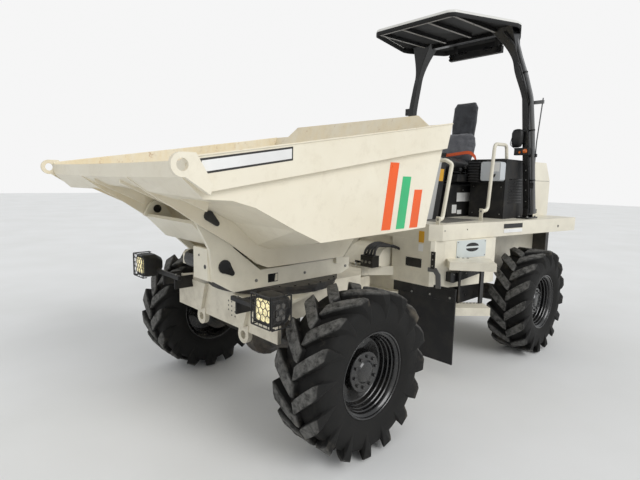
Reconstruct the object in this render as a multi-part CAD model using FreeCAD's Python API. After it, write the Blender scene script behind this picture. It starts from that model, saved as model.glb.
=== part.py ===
# Site dumper with a swivelling skip, hinged in the middle, four wheels.
# Millimetres, +Z up, the front looks along -Y, +X is the machine's left side.
# Shapes are drawn with y = 0 at the front axle and moved by FRONT_AXLE_Y when they are written.
import math
import os

import FreeCAD
import Part

V = FreeCAD.Vector
os.makedirs("parts", exist_ok=True)

# driving sizes
FRONT_END = -1166.0
REAR_END = 3470.0
FRONT_AXLE_Y = -(FRONT_END + REAR_END) / 2.0
WHEELBASE = 2490.0
WHEEL_X = 870.0
HUB_Z = 490.0
TYRE_R = 490.0
PIVOT_Y = 1020.0
SLEW_Y = 60.0
TIP_Y = -660.0
TIP_Z = 1380.0
RIM_X = 940.0
SIDE_X = 905.0
KEEL_OUT = 352.0
KEEL_IN = 334.0
KNEE_X = 352.0
PIN_R = 26.0
RUN = 0.05
DECK_TOP = 1252.0
DECK_DROP = 132.0
CANOPY_Z = 3000.0


# small helpers
def box(x0, x1, y0, y1, z0, z1):
    return Part.makeBox(x1 - x0, y1 - y0, z1 - z0, V(x0, y0, z0))


def rod(a, b, r):
    a = V(*a)
    b = V(*b)
    d = b.sub(a)
    return Part.makeCylinder(r, d.Length, a, d)


def tube(a, b, r, r_in):
    return rod(a, b, r).cut(rod(a, b, r_in))


def face(points):
    pts = [V(*p) for p in points]
    return Part.Face(Part.makePolygon(pts + [pts[0]]))


def prism_x(profile, x0, x1):
    return face([(x0, y, z) for y, z in profile]).extrude(V(x1 - x0, 0, 0))


def prism_y(profile, y0, y1):
    return face([(x, y0, z) for x, z in profile]).extrude(V(0, y1 - y0, 0))


def prism_z(profile, z0, z1):
    return face([(x, y, z0) for x, y in profile]).extrude(V(0, 0, z1 - z0))


def mirror_x(shape):
    return shape.mirror(V(0, 0, 0), V(1, 0, 0))


def both(shape):
    return [shape, mirror_x(shape)]


def fuse(shapes):
    first = shapes[0]
    if len(shapes) == 1:
        return first
    return first.fuse(shapes[1:]).removeSplitter()


def skin(loops, ring=False):
    """Flat faces between loops of equal count; the ends are closed, or joined to a ring."""
    faces = []
    pairs = list(zip(loops, loops[1:]))
    if ring:
        pairs.append((loops[-1], loops[0]))
    for a, b in pairs:
        for i in range(len(a)):
            j = (i + 1) % len(a)
            quad = [a[i], a[j], b[j], b[i]]
            normal = quad[1].sub(quad[0]).cross(quad[2].sub(quad[0]))
            off = abs(normal.dot(quad[3].sub(quad[0])))
            if normal.Length < 1e-6 or off / normal.Length > 1e-5:
                parts = [quad[:3], [quad[0], quad[2], quad[3]]]
            else:
                parts = [quad]
            for pts in parts:
                faces.append(Part.Face(Part.makePolygon(pts + [pts[0]])))
    if not ring:
        faces.append(Part.Face(Part.makePolygon(loops[0] + [loops[0][0]])))
        faces.append(Part.Face(Part.makePolygon(loops[-1] + [loops[-1][0]])))
    shell = Part.Shell(faces)
    shell.sewShape()
    solid = Part.Solid(shell)
    if solid.Volume < 0:
        solid.reverse()
    return solid


def across(d):
    """Two directions square to d, always chosen the same way."""
    d = V(d).normalize()
    start = V(0, 0, 1) if abs(d.z) < 0.9 else V(1, 0, 0)
    side = start.sub(V(d).multiply(start.dot(d))).normalize()
    return side, d.cross(side)


def loop_at(centre, side, other, r, sides):
    out = []
    for k in range(sides):
        a = 2.0 * math.pi * k / sides
        out.append(centre.add(V(side).multiply(r * math.cos(a))).add(V(other).multiply(r * math.sin(a))))
    return out


def turned(a, b, rows, sides=16, ring=False):
    """A form turned round the line from a to b in flat steps; rows are distance and radius."""
    a = V(*a)
    d = V(*b).sub(a).normalize()
    side, other = across(d)
    loops = [loop_at(a.add(V(d).multiply(t)), side, other, r, sides) for t, r in rows]
    return skin(loops, ring)


def bar(a, b, r, sides=16):
    """A round bar in flat steps, for what is neither a pin nor a bore."""
    return turned(a, b, [(0, r), (V(*b).sub(V(*a)).Length, r)], sides)


def bent_tube(points, r, bend, sides=8):
    """A tube along straight runs; each corner is an arc in three steps."""
    pts = [V(*p) for p in points]
    line = [pts[0]]
    for i in range(1, len(pts) - 1):
        p = pts[i]
        a = pts[i - 1].sub(p).normalize()
        b = pts[i + 1].sub(p).normalize()
        half = a.getAngle(b) / 2.0
        t = bend / math.tan(half)
        m = a.add(b).normalize()
        line.append(p.add(V(a).multiply(t)))
        line.append(p.add(V(m).multiply(bend / math.sin(half) - bend)))
        line.append(p.add(V(b).multiply(t)))
    line.append(pts[-1])
    side, other = across(line[1].sub(line[0]))
    loops = []
    for i, p in enumerate(line):
        way = line[min(i + 1, len(line) - 1)].sub(line[max(i - 1, 0)]).normalize()
        side = side.sub(V(way).multiply(side.dot(way))).normalize()
        loops.append(loop_at(p, side, way.cross(side), r, sides))
    return skin(loops)


def write(name, shapes):
    if not isinstance(shapes, (list, tuple)):
        shapes = [shapes]
    flat = []
    for s in shapes:
        flat.extend(s.Solids)
    out = flat[0] if len(flat) == 1 else Part.makeCompound(flat)
    out.translate(V(0, FRONT_AXLE_Y, 0))
    out.exportStep("parts/" + name + ".step")
    print(name, len(flat), "solids", round(out.Volume / 1e9, 4), "m3", "ok" if out.isValid() else "NOT VALID")


# skip, the load carrier: stations from the lip to the back
# each row: y, rim, band bottom, side bottom, knee, keel bottom, floor underside, inner floor
SKIP_ROWS = [
    (-1095, 1665, 1602, 1588, 1584, 1579, 1582, 1656),
    (-1000, 1680, 1530, 1500, 1515, 1512, 1534, 1604),
    (-863, 1702, 1552, 1492, 1475, 1430, 1510, 1534),
    (-740, 1722, 1572, 1458, 1452, 1348, 1482, 1500),
    (-500, 1760, 1610, 1340, 1338, 1200, 1400, 1420),
    (-330, 1787, 1637, 1266, 1190, 1075, 1300, 1320),
    (-250, 1800, 1650, 1268, 1160, 1042, 1255, 1282),
    (430, 1911, 1761, 1286, 1160, 1042, 1255, 1304),
]
BACK_ROW = (1978, 1812, 1294, 1262, 1230, 1266, 1318)
BACK_Y = 620.0
BACK_SLOPE = 0.306
WALL = 10.0


def back_y(z):
    return BACK_Y + (z - 1292.0) * BACK_SLOPE


def skip_outer_loop(ys, row):
    rim, band, side, knee, keel, under = row[:6]
    half = [
        (RIM_X, rim),
        (RIM_X, band),
        (SIDE_X, band - 6),
        (SIDE_X, side),
        (KNEE_X, knee),
        (KEEL_OUT, keel),
        (KEEL_IN, keel),
        (KEEL_IN, under),
    ]
    pts = half + [(-x, z) for x, z in reversed(half)]
    return [V(x, ys(z), z) for x, z in pts]


def skip_inner_loop(ys, row):
    rim, band, side, knee, keel, under, floor = row
    low = max(side + 10, floor + 4)
    half = [
        (RIM_X - WALL, rim + 90),
        (RIM_X - WALL, max(band + 10, floor + 12)),
        (SIDE_X - WALL, max(band + 4, floor + 8)),
        (SIDE_X - WALL, low),
        (KEEL_OUT, floor),
    ]
    pts = half + [(-x, z) for x, z in reversed(half)]
    return [V(x, ys(z), z) for x, z in pts]


def make_skip():
    outer = []
    inner = []
    for row in SKIP_ROWS:
        y = float(row[0])
        outer.append(skip_outer_loop(lambda z, y=y: y, row[1:]))
        shift = -14.0 if row is SKIP_ROWS[0] else 0.0
        inner.append(skip_inner_loop(lambda z, y=y + shift: y, row[1:]))
    outer.append(skip_outer_loop(back_y, BACK_ROW))
    inner.append(skip_inner_loop(lambda z: back_y(z) - WALL, BACK_ROW))
    return skin(outer).cut(skin(inner))


skip = make_skip()
crown_low = 1960.0
crown_top = 2056.0
crown = face([
    (-760, back_y(crown_low), crown_low),
    (760, back_y(crown_low), crown_low),
    (760, back_y(1976), 1976),
    (650, back_y(crown_top), crown_top),
    (-650, back_y(crown_top), crown_top),
    (-760, back_y(1976), 1976),
]).extrude(V(0, -WALL, 0))
skip = fuse([skip, crown])
for s in (-1, 1):
    skip = skip.cut(rod((s * 320, TIP_Y, TIP_Z), (s * 460, TIP_Y, TIP_Z), PIN_R))
write("skip_body", skip)

# lifting eyes at the lip
EYE_Y = -1118.0
EYE_Z = 1636.0
eyes = []
for s in (-1, 1):
    plate = prism_x([(-1118, 1684), (-1060, 1684), (-985, 1560), (-1000, 1520), (-1118, 1596)], s * 940.3, s * 962)
    disc = bar((s * 940.3, EYE_Y, EYE_Z), (s * 962, EYE_Y, EYE_Z), 48, 20)
    hole = rod((s * 900, EYE_Y, EYE_Z), (s * 980, EYE_Y, EYE_Z), 25)
    eyes.append(fuse([plate, disc]).cut(hole))
write("skip_lifting_eyes", eyes)

# ribs below the spout
ribs = []
for x in (-560, -190, 190, 560):
    rib = prism_x([(-1070, 1590), (-870, 1530), (-770, 1500), (-790, 1420), (-1070, 1552)], x - 6, x + 6).cut(skip)
    ribs.append(min(rib.Solids, key=lambda piece: piece.CenterOfMass.z))
write("skip_ribs", ribs)

# tipping frame on the slewing ring
BASE_Y = -545.0
BASE_Z = 1078.0
near_side = [(-720, 1340), (-712, 1405), (-600, 1390), (-480, 1180), (-290, 1028), (520, 1028),
             (520, 945), (440, 915), (-480, 915), (-620, 1000), (-640, 1190)]
far_side = [(-745, 1340), (-712, 1405), (-600, 1390), (-480, 1180), (-290, 1028), (520, 1028),
            (520, 945), (440, 915), (-320, 915), (-420, 1085), (-640, 1285)]
arms = [
    prism_x(near_side, 296, 326),
    prism_x(far_side, -326, -296),
]
heads = [bar((s * 296, TIP_Y, TIP_Z), (s * 326, TIP_Y, TIP_Z), 54, 20) for s in (-1, 1)]
pads = [box(min(s * 326, s * 352), max(s * 326, s * 352), 360, 420, 1000, 1041.7) for s in (-1, 1)]
bed = prism_x([(-290, 1020), (500, 1020), (500, 915), (-380, 915), (-400, 960)], -300, 300)
front_plate = prism_x([(-735, 1335), (-720, 1350), (-588, 1216), (-603, 1201)], -300, 300)
flange = box(140, 300, -640, -612, 1000, 1185)
web = box(140, 300, -615, -380, 990, 1010)
ear_loop = [(-580, 1040), (-580, 1110), (-545, 1130), (-500, 1110), (-360, 1020), (-360, 960), (-400, 960)]
ear = prism_x(ear_loop, -110, -85)
console = fuse(arms + heads + pads + [bed, front_plate, flange, web, ear])
pin_bore = rod((-400, TIP_Y, TIP_Z), (400, TIP_Y, TIP_Z), PIN_R + RUN)
base_bore = rod((-200, BASE_Y, BASE_Z), (400, BASE_Y, BASE_Z), PIN_R)
console = console.cut(pin_bore).cut(base_bore)
write("tipping_frame", console)


def keeper(x0, x1, y, z, r, reach, drop):
    """A round pin head with a bolted tail that keeps the pin from turning."""
    head = bar((x0, y, z), (x1, y, z), r)
    tail = bar((x0, y + reach, z - drop), (x1, y + reach, z - drop), 15, 10)
    far = math.hypot(reach, drop)
    ny = drop / far
    nz = reach / far
    web = prism_x([(y + ny * r, z + nz * r), (y + reach + ny * 15, z - drop + nz * 15),
                   (y + reach - ny * 15, z - drop - nz * 15), (y - ny * r, z - nz * r)], x0, x1)
    return fuse([head, tail, web])


tip_pins = []
for s in (-1, 1):
    head = keeper(min(s * 352, s * 362), max(s * 352, s * 362), TIP_Y, TIP_Z, 29, 50, 45)
    tip_pins.append(fuse([rod((s * 290, TIP_Y, TIP_Z), (s * 358, TIP_Y, TIP_Z), PIN_R), head]))
write("tip_pins", tip_pins)
base_head = keeper(326, 336, BASE_Y, BASE_Z, 40, 50, 45)
write("cylinder_base_pin", fuse([rod((-112, BASE_Y, BASE_Z), (334, BASE_Y, BASE_Z), PIN_R), base_head]))

# slewing ring
upper_ring = turned((0, SLEW_Y, 893.3), (0, SLEW_Y, 915), [(0, 470), (21.7, 470), (21.7, 330), (0, 330)], 36, True)
write("slew_ring_upper", upper_ring)
lower_ring = turned((0, SLEW_Y, 862), (0, SLEW_Y, 893), [(0, 455), (31, 455), (31, 345), (0, 345)], 36, True)
write("slew_ring_lower", lower_ring)

# front frame with the towing head
spine = prism_z([(-290, -340), (290, -340), (290, 700), (120, 900), (-120, 900), (-290, 700)], 640, 862)
hollow = box(-262, 262, 300, 660, 660, 840)
knuckle = fuse([bar((0, PIVOT_Y, 645), (0, PIVOT_Y, 775), 92, 20), box(-92, 92, 850, PIVOT_Y, 645, 775)])
pivot_bore = rod((0, PIVOT_Y, 600), (0, PIVOT_Y, 800), 45 + RUN)
head = box(-600, 600, -366, -340, 640, 862)
head_top = prism_z([(-600, -366), (600, -366), (420, 120), (-420, 120)], 842, 862)
STEER_F = (-330.0, 560.0, 590.0)
steer_lug = []
for z0, z1 in ((548, 562), (618, 640)):
    steer_lug.append(prism_z([(-250, 490), (-330, 510), (-375, 545), (-375, 590), (-330, 610), (-250, 640)], z0, z1))
steer_lug.append(box(-285, -250, 490, 640, 548, 640))
gusset = prism_y([(170, 862), (350, 862), (290, 672), (230, 672)], -392, -366)
TOW_Z = 612.0
toes = []
for s in (-1, 1):
    tow = prism_y([(s * 205, 680), (s * 315, 680), (s * 305, 600), (s * 215, 600)], -372, -340)
    lug = bar((s * 260, -372, TOW_Z), (s * 260, -340, TOW_Z), 55, 20)
    toes += [tow, lug]
front = fuse([spine.cut(hollow), knuckle, head, head_top, gusset, mirror_x(gusset)] + toes + steer_lug)
front = front.cut(pivot_bore)
for s in (-1, 1):
    front = front.cut(rod((s * 260, -400, TOW_Z), (s * 260, -338, TOW_Z), 27))
write("front_frame", front)


def make_axle(y, top):
    beam = turned((-650, y, HUB_Z), (650, y, HUB_Z), [(0, 82), (500, 82), (560, 118), (590, 158), (650, 168), (710, 158),
                                                     (740, 118), (800, 82), (1300, 82)])
    beam = beam.common(box(-660, 660, y - 200, y + 200, 300, 636))
    seats = [box(s * 240 - 50, s * 240 + 50, y - 80, y + 80, HUB_Z + 40, top) for s in (-1, 1)]
    ends = [turned((s * 600, y, HUB_Z), (s * 702, y, HUB_Z), [(0, 100), (24, 140), (102, 140)]) for s in (-1, 1)]
    return fuse([beam] + seats + ends)


write("front_axle", make_axle(0, 640))
write("rear_axle", make_axle(WHEELBASE, 725))


# wheels: tyre and rim have the same flat steps, so their seats stay parallel
SIDES = 20
LUGS = 16
TYRE_PROFILE = [(-150, 256.3), (-180, 350), (-160, 448), (160, 448), (180, 350), (150, 256.3)]
LUG_ROWS = ((-6, 430, 490, 0, 4.4), (172, 400, 482, 16, 4.0))
RIM_PROFILE = [(-150, 256), (-128, 236), (128, 236), (150, 256), (150, 244), (126, 222), (26, 206), (26, 112),
               (84, 112), (84, 60), (96, 60)]
RIM_BACK = [(-167.7, 120), (12, 120), (12, 206), (-126, 222), (-150, 244)]


def make_lug(side, angle):
    """One bar from the middle of the tread to the shoulder, leaning along the turn."""
    loops = []
    for x, r0, r1, lean, half in LUG_ROWS:
        a = math.radians(angle + lean)
        w = math.radians(half)
        loop = []
        for rr, aa in ((r0, a - w), (r1, a - w * 0.8), (r1, a + w * 0.8), (r0, a + w)):
            loop.append(V(side * x, rr * math.sin(aa), rr * math.cos(aa)))
        loops.append(loop)
    return skin(loops)


def make_tyre():
    body = turned((0, 0, 0), (1, 0, 0), TYRE_PROFILE, SIDES, True)
    step = 360.0 / LUGS
    lugs = [make_lug(1, k * step + step / 2.0) for k in range(LUGS)]
    lugs += [make_lug(-1, k * step) for k in range(LUGS)]
    return body.fuse(lugs)


def make_rim(side):
    """Rim, disc and hub as one turned form; the hub's back meets the axle."""
    return turned((0, 0, 0), (side, 0, 0), RIM_BACK + RIM_PROFILE, SIDES)


tyre = make_tyre()
rim_by_side = {1: make_rim(1), -1: make_rim(-1)}
for tag, s, y in (("fl", 1, 0), ("fr", -1, 0), ("rl", 1, WHEELBASE), ("rr", -1, WHEELBASE)):
    t = tyre.copy()
    t.translate(V(s * WHEEL_X, y, HUB_Z))
    write("tyre_" + tag, t)
    w = rim_by_side[s].copy()
    w.translate(V(s * WHEEL_X, y, HUB_Z))
    write("rim_" + tag, w)

# headlights on arms
lamps = []
for s in (-1, 1):
    body = box(min(s * 690, s * 835), max(s * 690, s * 835), -590, -440, 870, 1010)
    arm = box(min(s * 330, s * 700), max(s * 330, s * 700), -510, -480, 870, 903)
    posts = [box(min(s * a, s * b), max(s * a, s * b), -510, -366, 800, 890) for a, b in ((380, 395), (560, 575))]
    lamps.append(fuse([body, arm] + posts))
write("headlights", lamps)

# rear frame
chassis = prism_z([(-600, 1250), (600, 1250), (640, 1330), (780, 1860), (780, 1930), (560, 1960), (560, 3320),
                   (-560, 3320), (-560, 1960), (-780, 1930), (-780, 1860), (-640, 1330)], 725, 1118)
top = box(-540, 540, 1300, 3300, 1118, DECK_TOP - 8)
room = box(-500, 500, 1500, 3290, 760, 1260)
ears = []
for z0, z1 in ((560, 638), (782, 860)):
    plate = prism_z([(-90, PIVOT_Y), (90, PIVOT_Y), (260, 1250), (260, 1330), (-260, 1330), (-260, 1250)], z0, z1)
    ears.append(fuse([plate, bar((0, PIVOT_Y, z0), (0, PIVOT_Y, z1), 92, 20)]))
ears.append(box(-260, 260, 1250, 1330, 560, 760))
cheek = [(1250, 1055), (1112, 1008), (980, 878), (980, 870), (1085, 870), (1090, 860), (1250, 860)]
cheeks = [prism_x(cheek, s * 170 - 10, s * 170 + 10) for s in (-1, 1)]
cheeks.append(prism_x([(1250, 1055), (1112, 1008), (980, 878), (984, 870), (1118, 998), (1250, 1045)], -180, 180))
STEER_R = (-400.0, 1420.0, 590.0)
for z0, z1 in ((548, 562), (618, 632)):
    ears.append(prism_z([(-360, 1400), (-360, 1500), (-440, 1500), (-440, 1400), (-400, 1375)], z0, z1))
ears.append(box(-440, -360, 1480, 1510, 548, 725))
rear = fuse([chassis, top]).cut(room)
rear = fuse([rear] + ears + cheeks)
rear = rear.cut(rod((0, PIVOT_Y, 500), (0, PIVOT_Y, 900), 45))
rear = rear.cut(rod((STEER_R[0], STEER_R[1], 500), (STEER_R[0], STEER_R[1], 700), 20))
write("rear_frame", rear)
write("pivot_pin", rod((0, PIVOT_Y, 545), (0, PIVOT_Y, 885), 45))

# rear counterweight with lamps and a towing jaw
weight = prism_z([(-700, 3320), (-700, 3400), (-600, REAR_END), (600, REAR_END), (700, 3400), (700, 3320)], 700, 1085)
rear_lamps = []
for s in (-1, 1):
    x0, x1 = sorted((s * 430, s * 590))
    weight = weight.cut(box(x0, x1, 3450, REAR_END + 5, 960, 1040))
    rear_lamps.append(box(x0 + 4, x1 - 4, 3450, 3466, 964, 1036))
jaw = [box(-90, 90, 3330, 3350, 600, 700), prism_z([(-90, 3340), (90, 3340), (45, 3460), (-45, 3460)], 600, 618),
       bar((0, 3425, 590), (0, 3425, 705), 14, 10)]
write("counterweight", fuse([weight] + jaw))
write("rear_lamps", rear_lamps)

# deck
DECK_SIDE = [(560, 1205), (640, 1285), (985, 3300), (960, 3350)]
deck_loop = DECK_SIDE + [(-x, y) for x, y in reversed(DECK_SIDE)]
deck = prism_z(deck_loop, DECK_TOP - DECK_DROP, DECK_TOP)
under = prism_z([(556, 1213), (632, 1289), (977, 3298), (955, 3342), (-955, 3342), (-977, 3298), (-632, 1289),
                 (-556, 1213)], DECK_TOP - DECK_DROP - 5, DECK_TOP - 8)
engine_hole = box(-300, 300, 2800, 3290, DECK_TOP - 50, DECK_TOP + 50)
write("deck", deck.cut(under).cut(engine_hole))

# engine as one block, bulkhead and hood
write("engine", box(-270, 270, 2810, 3260, 760, 1500))
BACK_TOP = 1820.0
case = prism_z([(-645, 2330), (-290, 2330), (-290, 2740), (290, 2740), (290, 2330), (645, 2330), (645, 2790),
                (-645, 2790)], DECK_TOP, BACK_TOP)
for s in (-1, 1):
    case = case.cut(box(min(s * 305, s * 630), max(s * 305, s * 630), 2345, 2775, DECK_TOP - 10, BACK_TOP - 15))
write("bulkhead", case)
hood_loop = [(-650, DECK_TOP + 0.3), (650, DECK_TOP + 0.3), (650, 1625), (600, 1825), (-600, 1825), (-650, 1625)]
hood = prism_y(hood_loop, 2800, 3430)
hood_room = prism_y([(-640, DECK_TOP - 5), (640, DECK_TOP - 5), (640, 1621), (592, 1815), (-592, 1815),
                     (-640, 1621)], 2790, 3420)
grille = [box(-430, 430, 3400, 3440, z, z + 20) for z in range(1330, 1630, 36)]
write("engine_hood", hood.cut(hood_room).cut(grille))
HINGE_Y = 2802.0
HINGE_Z = 1838.0
write("hood_hinges", [bar((s * 300, HINGE_Y, HINGE_Z), (s * 420, HINGE_Y, HINGE_Z), 12, 12) for s in (-1, 1)])

# steps and mudflaps
steps = []
flaps = []
for s in (-1, 1):
    upper = prism_z([(s * 745, 1235), (s * 1022, 1462), (s * 863, 1655), (s * 586, 1428)], 905, 970)
    lower = prism_z([(s * 800, 1270), (s * 985, 1480), (s * 860, 1590), (s * 680, 1390)], 540, 605)
    straps = [box(min(s * a, s * b), max(s * a, s * b), y, y + 30, 600, 910)
              for a, b, y in ((850, 858, 1540), (735, 743, 1400))]
    steps.append(fuse([upper, lower] + straps).cut(chassis))
    inner = 264 if s > 0 else 490
    flaps.append(box(min(s * 210, s * 810), max(s * 210, s * 810), 1238, 1250, 650, 760))
    flaps.append(box(min(s * inner, s * 810), max(s * inner, s * 810), 1238, 1250, 140, 649.7))
write("steps", steps)
write("mudflaps", flaps)

# dashboard, seat and steering wheel
dash = prism_x([(1545, DECK_TOP), (1740, DECK_TOP), (1850, 1780), (1790, 1815), (1700, 1800)], -300, 300)
write("dashboard", dash)


def flat_ring(x, y0, y1, z, trim=0.35):
    """A level loop with cut corners; trim is the share of the half width that they take."""
    c = x * trim
    return [V(px, py, z) for px, py in ((-x + c, y0), (x - c, y0), (x, y0 + c), (x, y1 - c), (x - c, y1), (-x + c, y1),
                                        (-x, y1 - c), (-x, y0 + c))]


seat_box = box(-240, 240, 2000, 2600, DECK_TOP, 1570)
folds = []
for k in range(6):
    out = 14 if k % 2 else 0
    folds.append(flat_ring(200 + out, 2090 - out, 2560 + out, (1569, 1600, 1630, 1660, 1690, 1719.7)[k], 0.1))
write("seat_base", fuse([seat_box, skin(folds)]))
cushion = skin([flat_ring(x, y0, y1, z, 0.18) for x, y0, y1, z in ((215, 2005, 2470, 1720), (244, 1984, 2486, 1745),
                                                                  (244, 1980, 2486, 1800), (216, 2004, 2470, 1836))])
back = skin([flat_ring(x, y - d, y + d, z, 0.2) for x, y, d, z in ((180, 2450, 46, 1760), (218, 2458, 56, 1800),
                                                                  (222, 2500, 58, 1930), (212, 2545, 56, 2050),
                                                                  (176, 2592, 48, 2150), (130, 2608, 40, 2190))])
rest = skin([flat_ring(x, y - d, y + d, z, 0.15) for x, y, d, z in ((112, 2642, 30, 2112), (146, 2650, 42, 2160),
                                                                  (148, 2668, 42, 2400), (118, 2678, 30, 2456))])
write("seat", fuse([cushion, back, rest]))
WHEEL_AT = V(0, 1870, 1950)
TILT = V(0, 0.447, 0.894)


def on_column(t):
    return tuple(WHEEL_AT.add(V(TILT).multiply(t)))


grip = []
tilt_side, tilt_other = across(TILT)
for k in range(20):
    a = math.radians(18.0 * k)
    out = V(tilt_side).multiply(math.cos(a)).add(V(tilt_other).multiply(math.sin(a)))
    grip.append(loop_at(WHEEL_AT.add(V(out).multiply(180)), out, TILT, 14, 6))
column = bar(on_column(-170), on_column(-12), 25, 12).cut(dash)
hub = bar(on_column(-14), on_column(12), 50, 12)
spokes = []
for k in range(3):
    a = math.radians(90.0 + 120.0 * k)
    out = V(tilt_side).multiply(math.sin(a)).add(V(tilt_other).multiply(math.cos(a)))
    spokes.append(bar(tuple(WHEEL_AT), tuple(WHEEL_AT.add(V(out).multiply(178))), 10, 6))
write("steering_wheel", fuse([skin(grip, True), column, hub] + spokes))

# handrails
rails = []
for s in (-1, 1):
    rails.append(bent_tube([(s * 600, 1300, DECK_TOP + 0.3), (s * 600, 1330, 1330), (s * 600, 1430, 1740),
                            (s * 560, 1400, 1770), (s * 300, 1560, 1770)], 16, 28))
    rails.append(bent_tube([(s * 600, 2000, DECK_TOP + 0.3), (s * 600, 2120, 1360), (s * 600, 2160, 1950),
                            (s * 600, 2400, 1955), (s * 600, 2430, BACK_TOP - 30)], 16, 45))
floor_cut = box(-900, 900, 1200, 2300, 1150, DECK_TOP)
top_cut = box(-645, 645, 2330, 2790, 1700, BACK_TOP)
write("handrails", [r.cut(dash).cut(floor_cut).cut(top_cut) for r in rails])

# protection frame: each post spreads inwards and forwards where it meets the canopy
SLOPE = math.tan(math.radians(3.0))


def ceiling(y):
    """Height of the canopy's inner face."""
    return CANOPY_Z - 30.0 + 50.0 / math.cos(math.radians(3.0)) + (y - 1600.0) * SLOPE


POST_ROWS = [
    (710, 768, 2630, 2718, DECK_TOP + 38),
    (631, 689, 2588, 2676, CANOPY_Z - 600),
    (561, 615, 2547, 2631, CANOPY_Z - 360),
    (526, 580, 2538, 2622, CANOPY_Z - 220),
    (455, 566, 2500, 2612, CANOPY_Z - 90),
]
posts = []
for s in (-1, 1):
    base = prism_z([(s * 672, 2560), (s * 790, 2560), (s * 790, 2800), (s * 672, 2800)], DECK_TOP, DECK_TOP + 48)
    loops = [[V(s * x0, y0, z), V(s * x1, y0, z), V(s * x1, y1, z), V(s * x0, y1, z)] for x0, x1, y0, y1, z in POST_ROWS]
    loops.append([V(s * x, y, ceiling(y) - 0.3) for x, y in ((330, 2430), (553, 2430), (553, 2600), (330, 2600))])
    posts.append(fuse([skin(loops), base]))
cross = prism_x([(2510, ceiling(2510) - 40), (2590, ceiling(2590) - 40), (2590, ceiling(2590) - 0.3),
                 (2510, ceiling(2510) - 0.3)], -400, 400)
write("protection_posts", fuse(posts + [cross]))

# canopy, a shallow tray over a frame of bars, with a lamp bar behind the posts
roof_loop = [(-430, 1640), (-380, 1600), (380, 1600), (430, 1640), (640, 2500), (640, 2860), (600, 2900),
             (-600, 2900), (-640, 2860), (-640, 2500)]


def roof_place(shape):
    shape.rotate(V(0, 1600, 0), V(1, 0, 0), 3.0)
    shape.translate(V(0, 0, CANOPY_Z - 30))
    return shape


roof = prism_z(roof_loop, 0, 60)
roof_in = prism_z([(x * 0.98, 2250 + (y - 2250) * 0.985) for x, y in roof_loop], -5, 50)
write("canopy", roof_place(roof.cut(roof_in)))
frame_bars = [box(-402, 402, 1655, 1679, 14, 49.7)]
frame_bars += [box(x - 12, x + 12, 1660, 2425, 14, 49.7) for x in (-390, -140, 140, 390)]
write("canopy_frame", roof_place(fuse(frame_bars)))
LAMP_Y = 2800.0
lamp_bar = [box(-300, 300, LAMP_Y - 22, LAMP_Y + 22, CANOPY_Z - 65, CANOPY_Z + 5)]
for s in (-1, 1):
    low = CANOPY_Z - 20
    lamp_bar.append(prism_x([(LAMP_Y - 20, low), (LAMP_Y + 20, low), (LAMP_Y + 20, ceiling(LAMP_Y + 20) - 0.3),
                             (LAMP_Y - 20, ceiling(LAMP_Y - 20) - 0.3)], s * 240 - 15, s * 240 + 15))
write("rear_lamp_bar", fuse(lamp_bar))

# tipping cylinder: barrel on the frame's pin, rod eye on the skip
EYE2_Y = 150.0
EYE2_Z = 1120.0
d = V(0, EYE2_Y - BASE_Y, EYE2_Z - BASE_Z)
d.normalize()


def along(t):
    return (0, BASE_Y + d.y * t, BASE_Z + d.z * t)


barrel = fuse([
    bar((-60, BASE_Y, BASE_Z), (60, BASE_Y, BASE_Z), 55),
    bar(along(40), along(600), 55),
]).cut(rod((-80, BASE_Y, BASE_Z), (80, BASE_Y, BASE_Z), PIN_R + RUN)).cut(bar(along(75), along(610), 42))
write("tip_cylinder_barrel", barrel)
piston = fuse([
    bar(along(85), along(125), 41.7),
    bar(along(120), along(660), 27, 12),
    bar((-45, EYE2_Y, EYE2_Z), (45, EYE2_Y, EYE2_Z), 48),
]).cut(rod((-60, EYE2_Y, EYE2_Z), (60, EYE2_Y, EYE2_Z), 20))
write("tip_cylinder_rod", piston)
brackets = []
for s in (-1, 1):
    ear = prism_x([(80, 1255), (220, 1255), (190, 1080), (110, 1080)], min(s * 52, s * 70), max(s * 52, s * 70))
    brackets.append(ear.fuse(bar((s * 70, EYE2_Y, EYE2_Z), (s * 80, EYE2_Y, EYE2_Z), 34, 12)).removeSplitter())
write("skip_cylinder_bracket", brackets)

# steering cylinder on the right, from the rear frame to the front frame
sx, sy, sz = STEER_R
length = math.hypot(STEER_F[0] - sx, STEER_F[1] - sy)
ux = (STEER_F[0] - sx) / length
uy = (STEER_F[1] - sy) / length


def steer_at(t):
    return (sx + ux * t, sy + uy * t, sz)


barrel = fuse([
    bar((sx, sy, sz - 24), (sx, sy, sz + 24), 34, 12),
    bar(steer_at(20), steer_at(60), 20, 12),
    bar(steer_at(55), steer_at(560), 34, 12),
]).cut(rod((sx, sy, sz - 40), (sx, sy, sz + 40), 20 + RUN)).cut(bar(steer_at(60), steer_at(570), 25, 12))
write("steer_cylinder_barrel", barrel)
piston = fuse([
    bar(steer_at(330), steer_at(360), 24.7, 12),
    bar(steer_at(350), steer_at(length - 20), 15, 8),
    bar((STEER_F[0], STEER_F[1], sz - 20), (STEER_F[0], STEER_F[1], sz + 20), 30, 12),
]).cut(bar((STEER_F[0], STEER_F[1], sz - 30), (STEER_F[0], STEER_F[1], sz + 30), 16, 12))
write("steer_cylinder_rod", piston)
write("steer_cylinder_pin", rod((sx, sy, sz - 46), (sx, sy, sz + 46), 20))
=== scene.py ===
# Site dumper: finishes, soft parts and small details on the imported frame. Metres.
import math

import bmesh
import bpy
from mathutils import Matrix, Vector


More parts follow.
